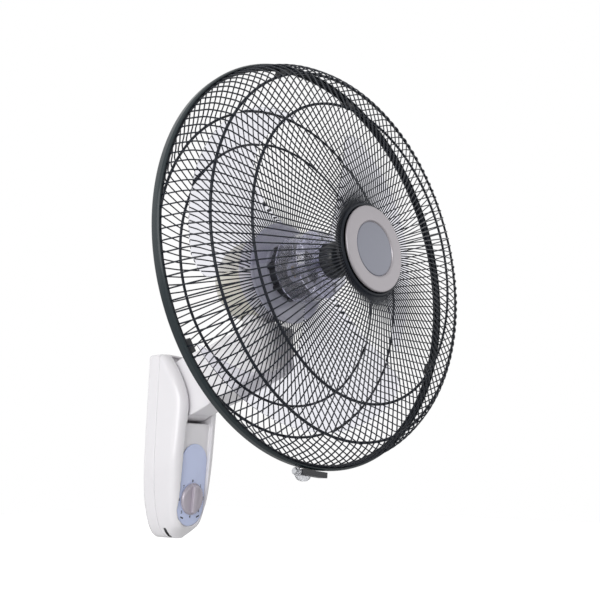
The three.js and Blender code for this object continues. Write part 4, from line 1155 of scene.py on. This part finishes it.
def text_mesh(words: str, high: float) -> Object:
    """A flat print of a number, centred on the origin.

    Args:
        words: the characters.
        high: their height in millimetres.

    Returns:
        A mesh object a tenth of a millimetre thick.
    """
    curve = bpy.data.curves.new("print", "FONT")
    curve.body = words
    curve.size = high * MM * FONT_SHARE
    curve.align_x = "CENTER"
    curve.align_y = "CENTER"
    curve.extrude = INK * MM
    curve.offset = STROKE * MM
    curve.resolution_u = 3
    source = add_object("print", curve)
    evaluated = source.evaluated_get(bpy.context.evaluated_depsgraph_get())
    mesh = bpy.data.meshes.new_from_object(evaluated)
    remove(source)
    obj = add_object("print", mesh)
    tidy(obj)
    return obj


# ------------------------------------------------------------------ neck
@dataclass
class Neck(Assembly):
    """The arm between the body and the head, with its round boss and lower cover."""

    tilt: Point2 = (38.0, 65.0)
    boss_r: float = 27.5
    heel: Point2 = (67.0, 21.0)
    apron_inside: float = 0.7
    apron_sweep: float = 23.0
    chin: Point2 = (206.0, 74.0)
    nose: Point2 = (205.0, 124.0)
    brow: Point2 = (181.0, 130.0)
    crest: Point2 = (44.0, 96.5)
    rear_half: float = 19.4
    front_half: float = 25.0
    flare: Point2 = (76.0, 128.0)
    end: float = 205.0
    end_r: float = 19.0
    pan_y: float = 160.0
    pan_boss_r: float = 21.0
    pan_boss_top: float = 143.0
    pan_boss_root: float = 20.0
    post_hole: float = 5.3
    bolt_hole: float = 4.3
    cover_gap: float = 0.35
    boss_steps: int = 24
    apron_steps: int = 8

    def side(self) -> list[Point2]:
        """The outline seen from the side, as distances from the wall and heights."""
        boss = arc(self.boss_r, 280, -180, self.boss_steps, self.tilt)
        reach = (self.heel[0] - self.tilt[0], self.heel[1] - self.tilt[1])
        start = math.degrees(math.atan2(reach[1], reach[0]))
        apron = arc(math.hypot(*reach) - self.apron_inside, start, -self.apron_sweep, self.apron_steps,
                    self.tilt)[1:]
        tail = filleted([boss[-1], self.crest, self.brow, self.nose, self.chin, self.heel], radius=9.0,
                        steps=6)
        heel = filleted([tail[-2], self.heel, apron[0]], radius=1.2, steps=3)
        return boss + tail[1:-1] + heel[1:-1] + apron

    def plan(self) -> list[Point2]:
        """Half of the outline seen from above, as half widths and distances from the wall."""
        rear, front = self.rear_half, self.front_half
        middle = (self.flare[0] + self.flare[1]) / 2
        widening = bezier([(rear, self.flare[0]), (rear, middle), (front, middle), (front, self.flare[1])],
                          steps=12)
        tip = bezier([(front, self.end - self.end_r), (front, self.end), (front - self.end_r, self.end)],
                     steps=10)
        return [(rear, 0.0), *widening, *tip]

    def build(self) -> None:
        """Builds and dresses the arm and what stands in it."""
        arm = loft("arm", [[(x, -y, z) for y, z in self.side()]
                           for x in (-self.front_half, self.front_half)])
        half = self.plan()
        outline = [(x, -y) for x, y in half] + [(-x, -y) for x, y in reversed(half)]
        combine(arm, prism("plan", outline, -50, 250), Join.KEEP)
        boss = prism("boss", disc_outline(self.pan_boss_r, 64, (0.0, -self.pan_y)),
                     self.brow[1] - self.pan_boss_root, self.pan_boss_top)
        combine(arm, boss, Join.ADD)
        post = prism("post", disc_outline(self.post_hole, 32, (0.0, -self.pan_y)), 100, FAR)
        combine(arm, post, Join.CUT)
        bolt = disc_outline(self.bolt_hole, 32)
        combine(arm, loft("hinge", [[(x, -self.tilt[0] + y, self.tilt[1] + z) for y, z in bolt]
                                    for x in (-60.0, 60.0)]), Join.CUT)
        cover = node_copy("neck_bottom_cover", "cover")
        grow(cover, self.cover_gap)
        combine(arm, cover, Join.CUT)
        melt(arm, passes=8)
        self.declare(arm, "arm", Body.NECK, "body_plastic", "neck_arm", crease=60)
        self.rounded_node("neck_bottom_cover", "arm_lower_cover", Body.NECK, "body_plastic", width=0.6)
        self.rounded_node("swivel_post", "pan_post", Body.NECK, "steel", width=0.3)


def grow(obj: Object, by: float) -> None:
    """Moves a mesh outwards along its vertex normals, by a distance in millimetres."""
    with editing(obj) as work:
        bmesh.ops.recalc_face_normals(work, faces=work.faces)
        work.normal_update()
        for vertex in work.verts:
            vertex.co += vertex.normal * by * MM * max(1.0, vertex.calc_shell_factor())


# ------------------------------------------------------------------ motor
@dataclass
class Motor(Assembly):
    """The motor's housings and the ring nut that holds the rear guard."""

    front: float = -65.5
    split: float = -91.5
    rear: float = -157.5
    front_r: float = 58.0
    rear_r: float = 54.0
    tail_r: float = 44.0
    nose_r: float = 15.0
    nose_front: float = -50.0
    bush_hole: float = 9.3
    wall: float = 2.6
    ribs: int = 60
    swivel_room: float = 23.5
    nut_r: float = 34.0
    nut_rear: float = -62.9
    nut_long: float = 12.5
    nut_lobes: int = 8
    lobe_r: float = 3.55
    webs: int = 16
    vents: int = 12
    vent: Point3 = (17.0, 36.0, 1.2)
    groove: Point3 = (-8.0, -7.0, 0.6)

    def build(self) -> None:
        """Builds and dresses the housings and the nut."""
        self._front()
        self._rear()
        self._nut()
        for source, slot in (("front_bush", "bronze"), ("rear_bush", "bronze"),
                             ("stator_core", "laminations"), ("swivel_frame", "cast_alloy"),
                             ("swing_motor", "steel")):
            self.rounded_node(source, f"{source}_turned", Body.HEAD, slot, width=0.3)

    def _front(self) -> None:
        """The front cover, its cream plastic painted a shaded lilac grey, with a stepped face and cooling ribs
        round its side.
        """
        r, f, w = self.front_r, self.front, self.wall
        outer = filleted([(r, self.split), (r, f - 5.5), (r - 1.2, f - 5.0), (r - 5.5, f), (46.0, f),
                          (45.0, f - 1.2), (38.0, f - 1.2), (37.0, f), (self.nose_r, f)], radius=1.2)
        nose = filleted([(self.nose_r, f), (self.nose_r, self.nose_front + 1),
                         (self.nose_r - 1, self.nose_front), (self.bush_hole, self.nose_front)], radius=0.6)
        inner = [(self.bush_hole, f - w), (r - w - 4, f - w), (r - w, f - w - 4), (r - w, self.split)]
        cover = lathe("front_cover", outer + nose[1:] + inner)
        rib = prism("rib", [(r - 1.6, -0.8), (r - 0.05, -0.6), (r - 0.05, 0.6), (r - 1.6, 0.8)],
                    self.split + 2, f - 7)
        # the ribs and the cover carry the painted shade, a darker lilac grey in place of cream
        spread(rib, self.ribs, self.paints.by_slot["motor_shade"])
        whole = merged("front_cover", [cover, rib])
        self.declare(whole, "motor_front_housing", Body.HEAD, "motor_shade", "motor_front_cover",
                     place=PLACES.head())

    def _rear(self) -> None:
        """The cream rear cover, with vents in its tail and the hole for the neck's boss."""
        back, r, w = self.rear, self.rear_r, self.wall
        outside = filleted([(0.0, back), (self.tail_r - 8, back), (self.tail_r, back + 3),
                            (r - 3, back + 16), (r, back + 30), (r, self.split - 0.3)], radius=9.0, steps=6)
        inside = [(r - w, self.split - 0.3), (r - w, back + 30), (r - 3 - w, back + 17),
                  (self.tail_r - w, back + 4.3), (self.tail_r - 8, back + w), (0.0, back + w)]
        cover = lathe("rear_cover", outside + inside)
        near, far, half = self.vent
        vent = prism("vent", filleted([(near, -half), (far, -half), (far, half), (near, half)], radius=1.1,
                                      closed=True), back - 5, back + 8)
        spread(vent, self.vents, self.paints.by_slot["cream_plastic"], start=15)
        combine(cover, vent, Join.CUT)
        low, high, inner = self.split + self.groove[0], self.split + self.groove[1], r - self.groove[2]
        groove = lathe("groove", [(inner, low), (r + 2, low), (r + 2, high), (inner, high)])
        combine(cover, groove, Join.CUT)
        hole = prism("hole", disc_outline(self.swivel_room, 64), 0, FAR)
        hole.data.transform(Matrix.Translation((0, 0, -PLACES.setback * MM))
                            @ Matrix.Rotation(math.radians(90), 4, "X"))
        combine(cover, hole, Join.CUT)
        self.declare(cover, "motor_rear_housing", Body.HEAD, "cream_plastic", "motor_rear_cover",
                     place=PLACES.head())

    def _nut(self) -> None:
        """The ring nut: a knurled rim with finger lobes and a stepped face."""
        r, low, high = self.nut_r, self.nut_rear, self.nut_rear + self.nut_long
        hole = self.nose_r + 0.3
        profile = filleted([(hole, low), (r, low), (r, high - 1.5), (r - 1.5, high), (r - 7, high),
                            (r - 8.2, high - 2.2), (hole + 6, high - 2.2), (hole + 5, high),
                            (hole, high)], radius=0.8, closed=True)
        nut = lathe("nut", profile)
        lobe = prism("lobe", disc_outline(self.lobe_r, 24, (r, 0.0)), low, high - 0.6)
        soften(lobe, width=0.6)
        spread(lobe, self.nut_lobes, self.paints.by_slot["black_plastic"])
        combine(nut, lobe, Join.ADD)
        web = prism("web", [(hole + 5.5, -0.6), (r - 7.5, -0.6), (r - 7.5, 0.6), (hole + 5.5, 0.6)],
                    high - 2.4, high - 0.6)
        spread(web, self.webs, self.paints.by_slot["black_plastic"])
        whole = merged("nut", [nut, web])
        self.declare(whole, "guard_ring_nut", Body.HEAD, "black_plastic", "guard_lock_nut",
                     place=PLACES.head())


# ------------------------------------------------------------------ guards
class Side(Enum):
    """The two halves of the guard."""

    FRONT = 1
    REAR = -1


@dataclass
class Guard(Assembly):
    """One half of the wire guard: its wires, its rings and its two hoops."""

    side: Side = Side.FRONT
    start: Point2 = (51.5, 67.6)
    bends: tuple[Point2, ...] = ((72.0, 74.3), (170.8, 61.3), (212.3, 49.6), (228.0, 29.0))
    hoops: tuple[int, int] = (1, 2)
    bend_r: float = 34.0
    rim_r: float = 235.2
    ring_tube: float = 2.1
    ring_off: float = 2.6
    lip: float = 8.5
    wires: int = 132
    wire_r: float = 0.76
    hoop_tube: float = 1.5
    hub_tube: float = 2.6
    facets: int = 6
    longest_run: float = 32.0
    weld: float = 0.2
    plate_bore: float = 15.4
    plate_step: Point2 = (40.0, 38.0)

    def profile(self) -> list[Point2]:
        """One wire's radii and heights, with its bends rounded."""
        return filleted([*self.corners, (self.rim_r, self.side.value * self.ring_off)], self.bend_r)

    @property
    def corners(self) -> list[Point2]:
        """The corners of one wire's way, from its start to the rim."""
        return [self.start, *self.bends, (self.rim_r, self.side.value * self.lip)]

    def _wires(self) -> Object:
        """All wires, each in its own plane through the axis."""
        profile = self.profile()
        points = []
        for (r0, z0), (r1, z1) in zip(profile, profile[1:]):
            runs = max(1, round(math.hypot(r1 - r0, z1 - z0) / self.longest_run))
            points += [(lerp(r0, r1, i / runs) * MM, 0.0, lerp(z0, z1, i / runs) * MM) for i in range(runs)]
        points.append((profile[-1][0] * MM, 0.0, profile[-1][1] * MM))
        mesh = bpy.data.meshes.new("wire")
        mesh.from_pydata(points, [(i, i + 1) for i in range(len(points) - 1)], [])
        cage = add_object("wires", mesh)
        run_tree(cage, bpy.data.node_groups["wire_cage"], Wire_Radius=self.wire_r * MM, Count=self.wires,
                 Facets=self.facets, Finish=self.paints.by_slot["guard_wire"])
        return cage

    def torus(self, radius: float, z: float, tube: float) -> Object:
        """A round ring about the axis."""
        section = [(radius + x, z + y) for x, y in disc_outline(tube, steps=12)]
        return lathe("ring", section, steps=160)

    def hoop_place(self, bend: int) -> Point2:
        """The radius and height of the hoop that lies inside a bend."""
        before, here, after = self.corners[bend:bend + 3]
        way = self.side.value
        near = min(self.profile(), key=lambda p: math.hypot(p[0] - here[0], p[1] - here[1]))
        lean = sum(math.atan2(way * (a[1] - b[1]), b[0] - a[0])
                   for a, b in ((before, here), (here, after))) / 2
        reach = self.wire_r + self.hoop_tube - self.weld
        return near[0] - reach * math.sin(lean), near[1] - way * reach * math.cos(lean)

    def build(self) -> None:
        """Builds and dresses this half of the guard."""
        name = self.side.name.lower()
        way = self.side.value
        parts = [self._wires(), self.torus(self.rim_r, way * self.ring_off, self.ring_tube)]
        if self.side is Side.FRONT:
            parts.append(self.torus(self.start[0], self.start[1], self.hub_tube))
        else:
            # the plate's lilac grey is painted light over the guard's black coat
            self.declare(self._plate(), "rear_cage_plate", Body.HEAD, "plate_shade", place=PLACES.head())
        cage = merged("cage", parts)
        self.declare(cage, f"{name}_cage", Body.HEAD, "guard_wire", f"{name}_guard", place=PLACES.head(),
                     crease=50)
        for bend, label in zip(self.hoops, ("inner", "outer")):
            radius, z = self.hoop_place(bend)
            self.declare(self.torus(radius, z, self.hoop_tube), f"{name}_ring_{label}", Body.HEAD,
                         "guard_wire", f"{name}_hoop_{label}", place=PLACES.head(), crease=50)

    def _plate(self) -> Object:
        """The pressed plate in the middle of the rear half."""
        r, z = self.start[0] + 1.0, self.start[1]
        bore, (outer, inner) = self.plate_bore, self.plate_step
        profile = filleted([(bore, z - 1), (r, z - 1), (r, z + 1), (r - 4, z + 1), (r - 6, z + 0.2),
                            (outer, z + 0.2), (inner, z + 1), (bore, z + 1)], radius=0.6, closed=True)
        return lathe("plate", profile)


# ------------------------------------------------------------------ rim
@dataclass
class Rim(Assembly):
    """The band round both halves, its fastening at the bottom and the small catches."""

    r: float = 239.4
    thick: float = 1.9
    half: float = 6.0
    lip: float = 1.2
    catches: tuple[float, ...] = (79.0, 109.0, 213.0, 333.0)
    catch_size: tuple[float, float, float, float] = (9.0, 3.6, 7.0, 4.5)
    foot_size: tuple[float, float, float, float] = (5.0, 0.3, 2.4, 3.4)

    def build(self) -> None:
        """Builds and dresses the band, the fastening and the catches."""
        inner = self.r - self.thick
        half, back = self.half, self.half - 2.4
        profile = filleted([(inner, -half + 1.1), (inner - self.lip, -half), (self.r - 1.4, -half),
                            (self.r, -back), (self.r, back), (self.r - 1.4, half),
                            (inner - self.lip, half), (inner, half - 1.1)],
                           radius=1.0, closed=True, steps=3)
        self.declare(lathe("band", profile, steps=256), "rim_ring", Body.HEAD, "rim_coat", "rim_band",
                     place=PLACES.head(), crease=50)
        self.rounded_node("rim_clip", "rim_fastening", Body.HEAD, "black_plastic", width=0.8)
        self.rounded_node("rim_clip_bolt", "rim_screw", Body.HEAD, "steel", width=0.5)
        self.rounded_node("rim_clip_tab", "rim_lug", Body.HEAD, "clear_tab", width=0.8)
        for number, degrees in enumerate(self.catches, 1):
            self._catch(number, degrees)

    def _catch(self, number: int, degrees: float) -> None:
        """One moulded catch that holds the front half's ring to the rear half's."""
        catch = self._block("catch", *self.catch_size)
        combine(catch, self._block("foot", *self.foot_size), Join.ADD)
        soften(catch, width=1.0)
        catch.data.transform(PLACES.head() @ Matrix.Rotation(math.radians(degrees), 4, "Z"))
        self.declare(catch, f"rim_catch_{number}", Body.HEAD, "black_plastic")

    def _block(self, name: str, far: float, near: float, half: float, deep: float) -> Object:
        """A box inside the band, between two distances from it."""
        inner = self.r - self.thick
        return block(name, (inner - far, -half, -deep), (inner - near, half, deep))


# ------------------------------------------------------------------ cap
@dataclass
class CentreCap(Assembly):
    """The plain silver disc in the middle of the front guard, and its backing ring."""

    back: float = 70.5
    rim: float = 3.4
    r: float = 49.4
    dish_r: float = 32.0
    dish: float = 1.8
    plate_r: float = 54.0
    plate_z: float = 61.1
    plate_thick: float = 3.6
    bore: float = 14.0
    spokes: int = 24

    def build(self) -> None:
        """Builds and dresses the cap, its inlay and the ring behind it."""
        back, front, r, dish = self.back, self.back + self.rim, self.r, self.dish_r
        floor = front - self.dish
        profile = [(0.0, back), (r - 1.8, back),
                   *bezier([(r - 0.6, back + 0.2), (r, back + 0.5), (r, back + 1.2)], steps=5),
                   *bezier([(r, back + 1.9), (r - 0.1, front), (r - 2.4, front)], steps=10),
                   *bezier([(dish + 2.6, front - 0.1), (dish + 0.6, front - 0.1), (dish, front - 0.9)],
                           steps=8),
                   (dish - 0.4, floor), (0.0, floor)]
        self.declare(lathe("cap", profile, steps=192), "cap_disc", Body.HEAD, "cap_silver", "centre_cap",
                     place=PLACES.head(), crease=30)
        inlay = [(0.0, floor - 0.1), (dish - 0.7, floor - 0.1), (dish - 0.9, floor + 0.2),
                 *bezier([(dish - 1.8, floor + 0.75), (dish - 8.0, floor + 0.9), (0.0, floor + 0.95)],
                         steps=12)]
        self.declare(lathe("inlay", inlay, steps=192), "cap_inlay", Body.HEAD, "cap_inlay",
                     place=PLACES.head(), crease=30)
        low, high = self.plate_z, self.plate_z + self.plate_thick
        ring = lathe("ring", filleted([(self.bore, low), (self.plate_r, low), (self.plate_r, high),
                                       (self.plate_r - 3.5, high), (self.plate_r - 4.5, high - 1.4),
                                       (self.bore + 6, high - 1.4), (self.bore + 5, high),
                                       (self.bore, high)], 0.8, closed=True), 160)
        spoke = prism("spoke", [(self.bore + 5, -0.8), (self.plate_r - 4, -0.8), (self.plate_r - 4, 0.8),
                                (self.bore + 5, 0.8)], high - 1.6, high - 0.4)
        spread(spoke, self.spokes, self.paints.by_slot["black_plastic"])
        self.declare(merged("backing", [ring, spoke]), "cap_backing", Body.HEAD, "black_plastic",
                     "guard_hub_plate", place=PLACES.head())


# ------------------------------------------------------------------ rotor
@dataclass
class Rotor(Assembly):
    """The clear blades with their hub and the ribbed nut that holds them."""

    blades: int = 3
    hub_r: float = 42.0
    hub_rear: float = -44.0
    hub_front: float = 7.0
    hub_wall: float = 2.6
    tip: float = 198.0
    thick: float = 2.2
    z: float = -17.0
    overlap: float = 3.2
    camber: float = 5.0
    chord_r: float = 138.0
    pitch: Point2 = (17.0, 7.8)
    width: Point3 = (62.0, 14.0, 104.0)
    start: float = 75.0
    lean: Point2 = (9.0, 3.0)
    spans: int = 30
    chords: int = 22
    corner: float = 0.07
    corner_from: float = 0.86
    corner_span: float = 0.14
    corner_rear: float = 0.6
    edge_thin: Point2 = (0.55, 0.45)
    edge_band: float = 0.05
    tip_band: float = 1.5
    bore: float = 4.3
    nut_r: float = 21.5
    nut_long: float = 20.4
    nut_ribs: int = 18
    nut_flute: float = 1.5

    def _edges(self, u: float) -> Point2:
        """Both edges of a blade, in degrees back from its start, at a share of its span."""
        straight = self.lean[0] * (1 - u) ** 2 - self.lean[1] * u
        root, waist, tip = self.width
        curved = lerp(root, tip, u * u) - waist * math.sin(math.pi * u)
        return straight, curved

    def _point(self, u: float, v: float, face: int) -> Point3:
        """A point of a blade's skin.

        Args:
            u: share of the span, from hub to tip.
            v: share of the chord.
            face: -1 for the rear skin, 1 for the front.

        Returns:
            The point on the blade axis's own axes.
        """
        r = lerp(self.hub_r - self.overlap, self.tip, u)
        ease = self.corner * max(0.0, (u - self.corner_from) / self.corner_span) ** 3
        v = lerp(ease, 1 - ease * self.corner_rear, v)
        straight, curved = self._edges(u)
        turn = lerp(straight, curved, v)
        from_middle = (v - 0.5) * (curved - straight)
        pitch = math.radians(lerp(*self.pitch, u))
        fall = math.radians(from_middle) * min(r, self.chord_r) * math.tan(pitch)
        bulge = self.camber * math.sin(math.pi * v) * u
        x, y = polar(r, self.start - turn)
        edge = min(v, 1 - v, (1 - u) * self.tip_band)
        least, rest = self.edge_thin
        thin = self.thick * (least + rest * min(1.0, edge / self.edge_band))
        return x, y, self.z - fall + bulge + face * thin / 2

    def _blade(self) -> Object:
        """One blade as a closed skin."""
        rows, columns = self.spans + 1, self.chords + 1
        verts = [self._point(i / self.spans, j / self.chords, face)
                 for face in (-1, 1) for i in range(rows) for j in range(columns)]

        def at(face: int, i: int, j: int) -> int:
            """The number of a point of one of the skins."""
            return (face * rows + i) * columns + j
        faces = []
        for i in range(self.spans):
            for j in range(self.chords):
                for face in (0, 1):
                    faces.append([at(face, i, j), at(face, i, j + 1),
                                  at(face, i + 1, j + 1), at(face, i + 1, j)])
        for i in range(self.spans):
            for j in (0, self.chords):
                faces.append([at(0, i, j), at(0, i + 1, j), at(1, i + 1, j), at(1, i, j)])
        for j in range(self.chords):
            for i in (0, self.spans):
                faces.append([at(0, i, j), at(0, i, j + 1), at(1, i, j + 1), at(1, i, j)])
        return make_object("blade", verts, faces)

    def build(self) -> None:
        """Builds and dresses the blades and the nut."""
        r, w, front = self.hub_r, self.hub_wall, self.hub_front
        outside = filleted([(self.bore, front), (r - 30, front), (r - 14, front - 1.3), (r - 4, front - 7),
                            (r, front - 15), (r, self.hub_rear)], radius=5.0, steps=5)
        inside = [(r - w, self.hub_rear), (r - w, front - 18), (r - 16.6, front - 5.4), (9.0, front - 5.2),
                  (9.0, -38.0), (self.bore, -38.0)]
        hub = lathe("hub", outside + inside)
        blade = self._blade()
        spread(blade, self.blades, self.paints.by_slot["blade_clear"])
        combine(blade, disc_keep(r - w / 2, low=-60, high=30), Join.CUT)
        self.declare(blade, "clear_blades", Body.ROTOR, "blade_clear", "blades", place=PLACES.head())
        # the hub's darker lilac tint is painted shade on the blades' clear plastic
        self.declare(hub, "clear_hub", Body.ROTOR, "hub_smoke", place=PLACES.head())
        self._nut()
        self.rounded_node("motor_shaft", "shaft_turned", Body.ROTOR, "steel", width=0.4)
        self.rounded_node("rotor_core", "rotor_core_turned", Body.ROTOR, "laminations", width=0.4)

    def _nut(self) -> None:
        """The black nut: a fluted barrel with a domed end."""
        low = self.hub_front + 0.6
        high = low + self.nut_long
        levels = [(low, 1.0, 0.0), (low + 0.01, 1.0, 1.0), (low + 10.4, 1.0, 1.0), (low + 11.4, 1.0, 0.6),
                  (low + 12.6, 0.98, 0.2)]
        levels += [(low + 12.6 + y, 0.98 * x, 0.0) for x, y in
                   ((math.cos(a) ** 0.8 * 0.6 + 0.4, 7.8 * math.sin(a)) for a in
                    (math.radians(10 * i) for i in range(1, 10)))]
        steps = self.nut_ribs * 8
        cuts = [(0.5 + 0.5 * math.cos(self.nut_ribs * TURN * k / steps)) ** 2 for k in range(steps)]
        rings = [[(*polar((self.nut_r - flute * self.nut_flute * cut) * scale, 360 * k / steps),
                   min(z, high)) for k, cut in enumerate(cuts)] for z, scale, flute in levels]
        nut = loft("nut", rings)
        combine(nut, prism("bore", disc_outline(self.bore, 32), low - 5, 22.5), Join.CUT)
        self.declare(nut, "blade_nut", Body.ROTOR, "black_plastic", "blade_lock_nut", place=PLACES.head(),
                     crease=50)


# ------------------------------------------------------------------ studio
@dataclass(frozen=True)
class SoftLight:
    """One area lamp of the studio."""

    name: str
    place: Point3
    aim: Point3
    watts: float
    size: float


@dataclass
class Studio:
    """Camera, lamps, world and floor."""

    azimuth: float = -55.895
    elevation: float = -14.332
    eye: Point3 = (-0.647, -0.662, -0.044)
    lens: float = 39.0
    sensor: float = 36.0
    floor_z: float = -550.0
    floor_half: float = 6000.0
    floor_thick: float = 10.0
    floor_tone: Point2 = (0.86, 0.92)
    floor_rough: float = 0.7
    floor_glow: float = 0.70
    ambient: float = 0.42
    lamps: tuple[SoftLight, ...] = (
        SoftLight("key", (-2.3, -0.8, 0.6), (0.0, -0.15, 0.05), 33.0, 1.6),
        SoftLight("side", (-1.6, 0.6, 0.3), (0.0, -0.1, 0.0), 3.0, 1.2),
        SoftLight("fill", (1.7, -1.9, 0.4), (0.0, -0.2, 0.1), 3.5, 1.6),
    )

    def build(self) -> None:
        """Sets the scene round the fan."""
        scene = bpy.context.scene
        scene.view_settings.view_transform = "Standard"
        self._camera(scene)
        for lamp in self.lamps:
            self._lamp(lamp)
        self._world(scene)
        self._floor()

    def _camera(self, scene: Scene) -> None:
        """The camera of the photograph."""
        azimuth, elevation = math.radians(self.azimuth), math.radians(self.elevation)
        back = Vector((math.sin(azimuth) * math.cos(elevation), -math.cos(azimuth) * math.cos(elevation),
                       math.sin(elevation)))
        data = bpy.data.cameras.new("camera")
        data.lens = self.lens
        data.sensor_width = self.sensor
        data.clip_start = 0.01
        camera = add_object("camera", data)
        camera.matrix_world = axis_matrix(Vector(self.eye), back)
        scene.camera = camera

    def _lamp(self, lamp: SoftLight) -> None:
        """One soft square lamp, turned to its aim."""
        data = bpy.data.lights.new(lamp.name, "AREA")
        data.energy = lamp.watts
        data.size = lamp.size
        away = (Vector(lamp.place) - Vector(lamp.aim)).normalized()
        add_object(lamp.name, data).matrix_world = axis_matrix(Vector(lamp.place), away)

    def _world(self, scene: Scene) -> None:
        """Even light, which the camera, gloss and glass see as white."""
        world = bpy.data.worlds.new("studio")
        world.use_nodes = True
        tree = world.node_tree
        path = tree.nodes.new("ShaderNodeLightPath").outputs
        seen = reckon(tree, "MAXIMUM", path["Is Camera Ray"], path["Is Transmission Ray"])
        seen = reckon(tree, "MAXIMUM", seen, path["Is Glossy Ray"])
        level = node(tree, "ShaderNodeMapRange", Value=seen, To_Min=self.ambient, To_Max=1.0)
        feed(tree, tree.nodes["Background"], Strength=level.outputs["Result"], Color=WHITE)
        scene.world = world

    def _floor(self) -> None:
        """The pale floor, which is white to the camera where no shadow falls."""
        half, top = self.floor_half, self.floor_z
        floor = block("floor", (-half, -half, top - self.floor_thick), (half, half, top))
        material = bpy.data.materials.new("pale_floor")
        material.use_nodes = True
        tree = material.node_tree
        place = tree.nodes.new("ShaderNodeTexCoord").outputs["Object"]
        cloud = node(tree, "ShaderNodeTexNoise", Vector=place, Scale=3.0, Detail=4.0)
        tone = node(tree, "ShaderNodeMapRange", Value=cloud.outputs["Fac"], To_Min=self.floor_tone[0],
                    To_Max=self.floor_tone[1]).outputs[0]
        colour = node(tree, "ShaderNodeCombineColor", _0=tone, _1=tone, _2=tone)
        path = tree.nodes.new("ShaderNodeLightPath").outputs
        glow = reckon(tree, "MULTIPLY", path["Is Camera Ray"], self.floor_glow)
        feed(tree, tree.nodes["Principled BSDF"], Base_Color=colour.outputs[0], Roughness=self.floor_rough,
             Emission_Color=WHITE, Emission_Strength=glow)
        floor.data.materials.append(material)


# ------------------------------------------------------------------ the whole fan
def main() -> None:
    """Builds the fan round its frame, sets the studio and reports each piece."""
    logging.basicConfig(level=logging.INFO, format="%(name)s: %(message)s")
    paints = Paints(FINISHES)
    paints.dress_nodes()
    spread_tree()
    cage_tree()
    Studio().build()
    panel = ControlPanel(paints)
    body = WallBody(paints)
    body.build(panel)
    rear = Guard(paints, side=Side.REAR, start=(62.75, -64.2), hoops=(0, 1),
                 bends=((165.5, -64.5), (204.0, -52.6), (213.5, -36.5)))
    others = (panel, Neck(paints), Motor(paints), Guard(paints), rear, Rim(paints), CentreCap(paints),
              Rotor(paints))
    for assembly in others:
        assembly.build()
    for assembly in (body, *others):
        LOG.info("%s: %s", type(assembly).__name__, ", ".join(assembly.made))


if __name__ == "__main__":
    main()
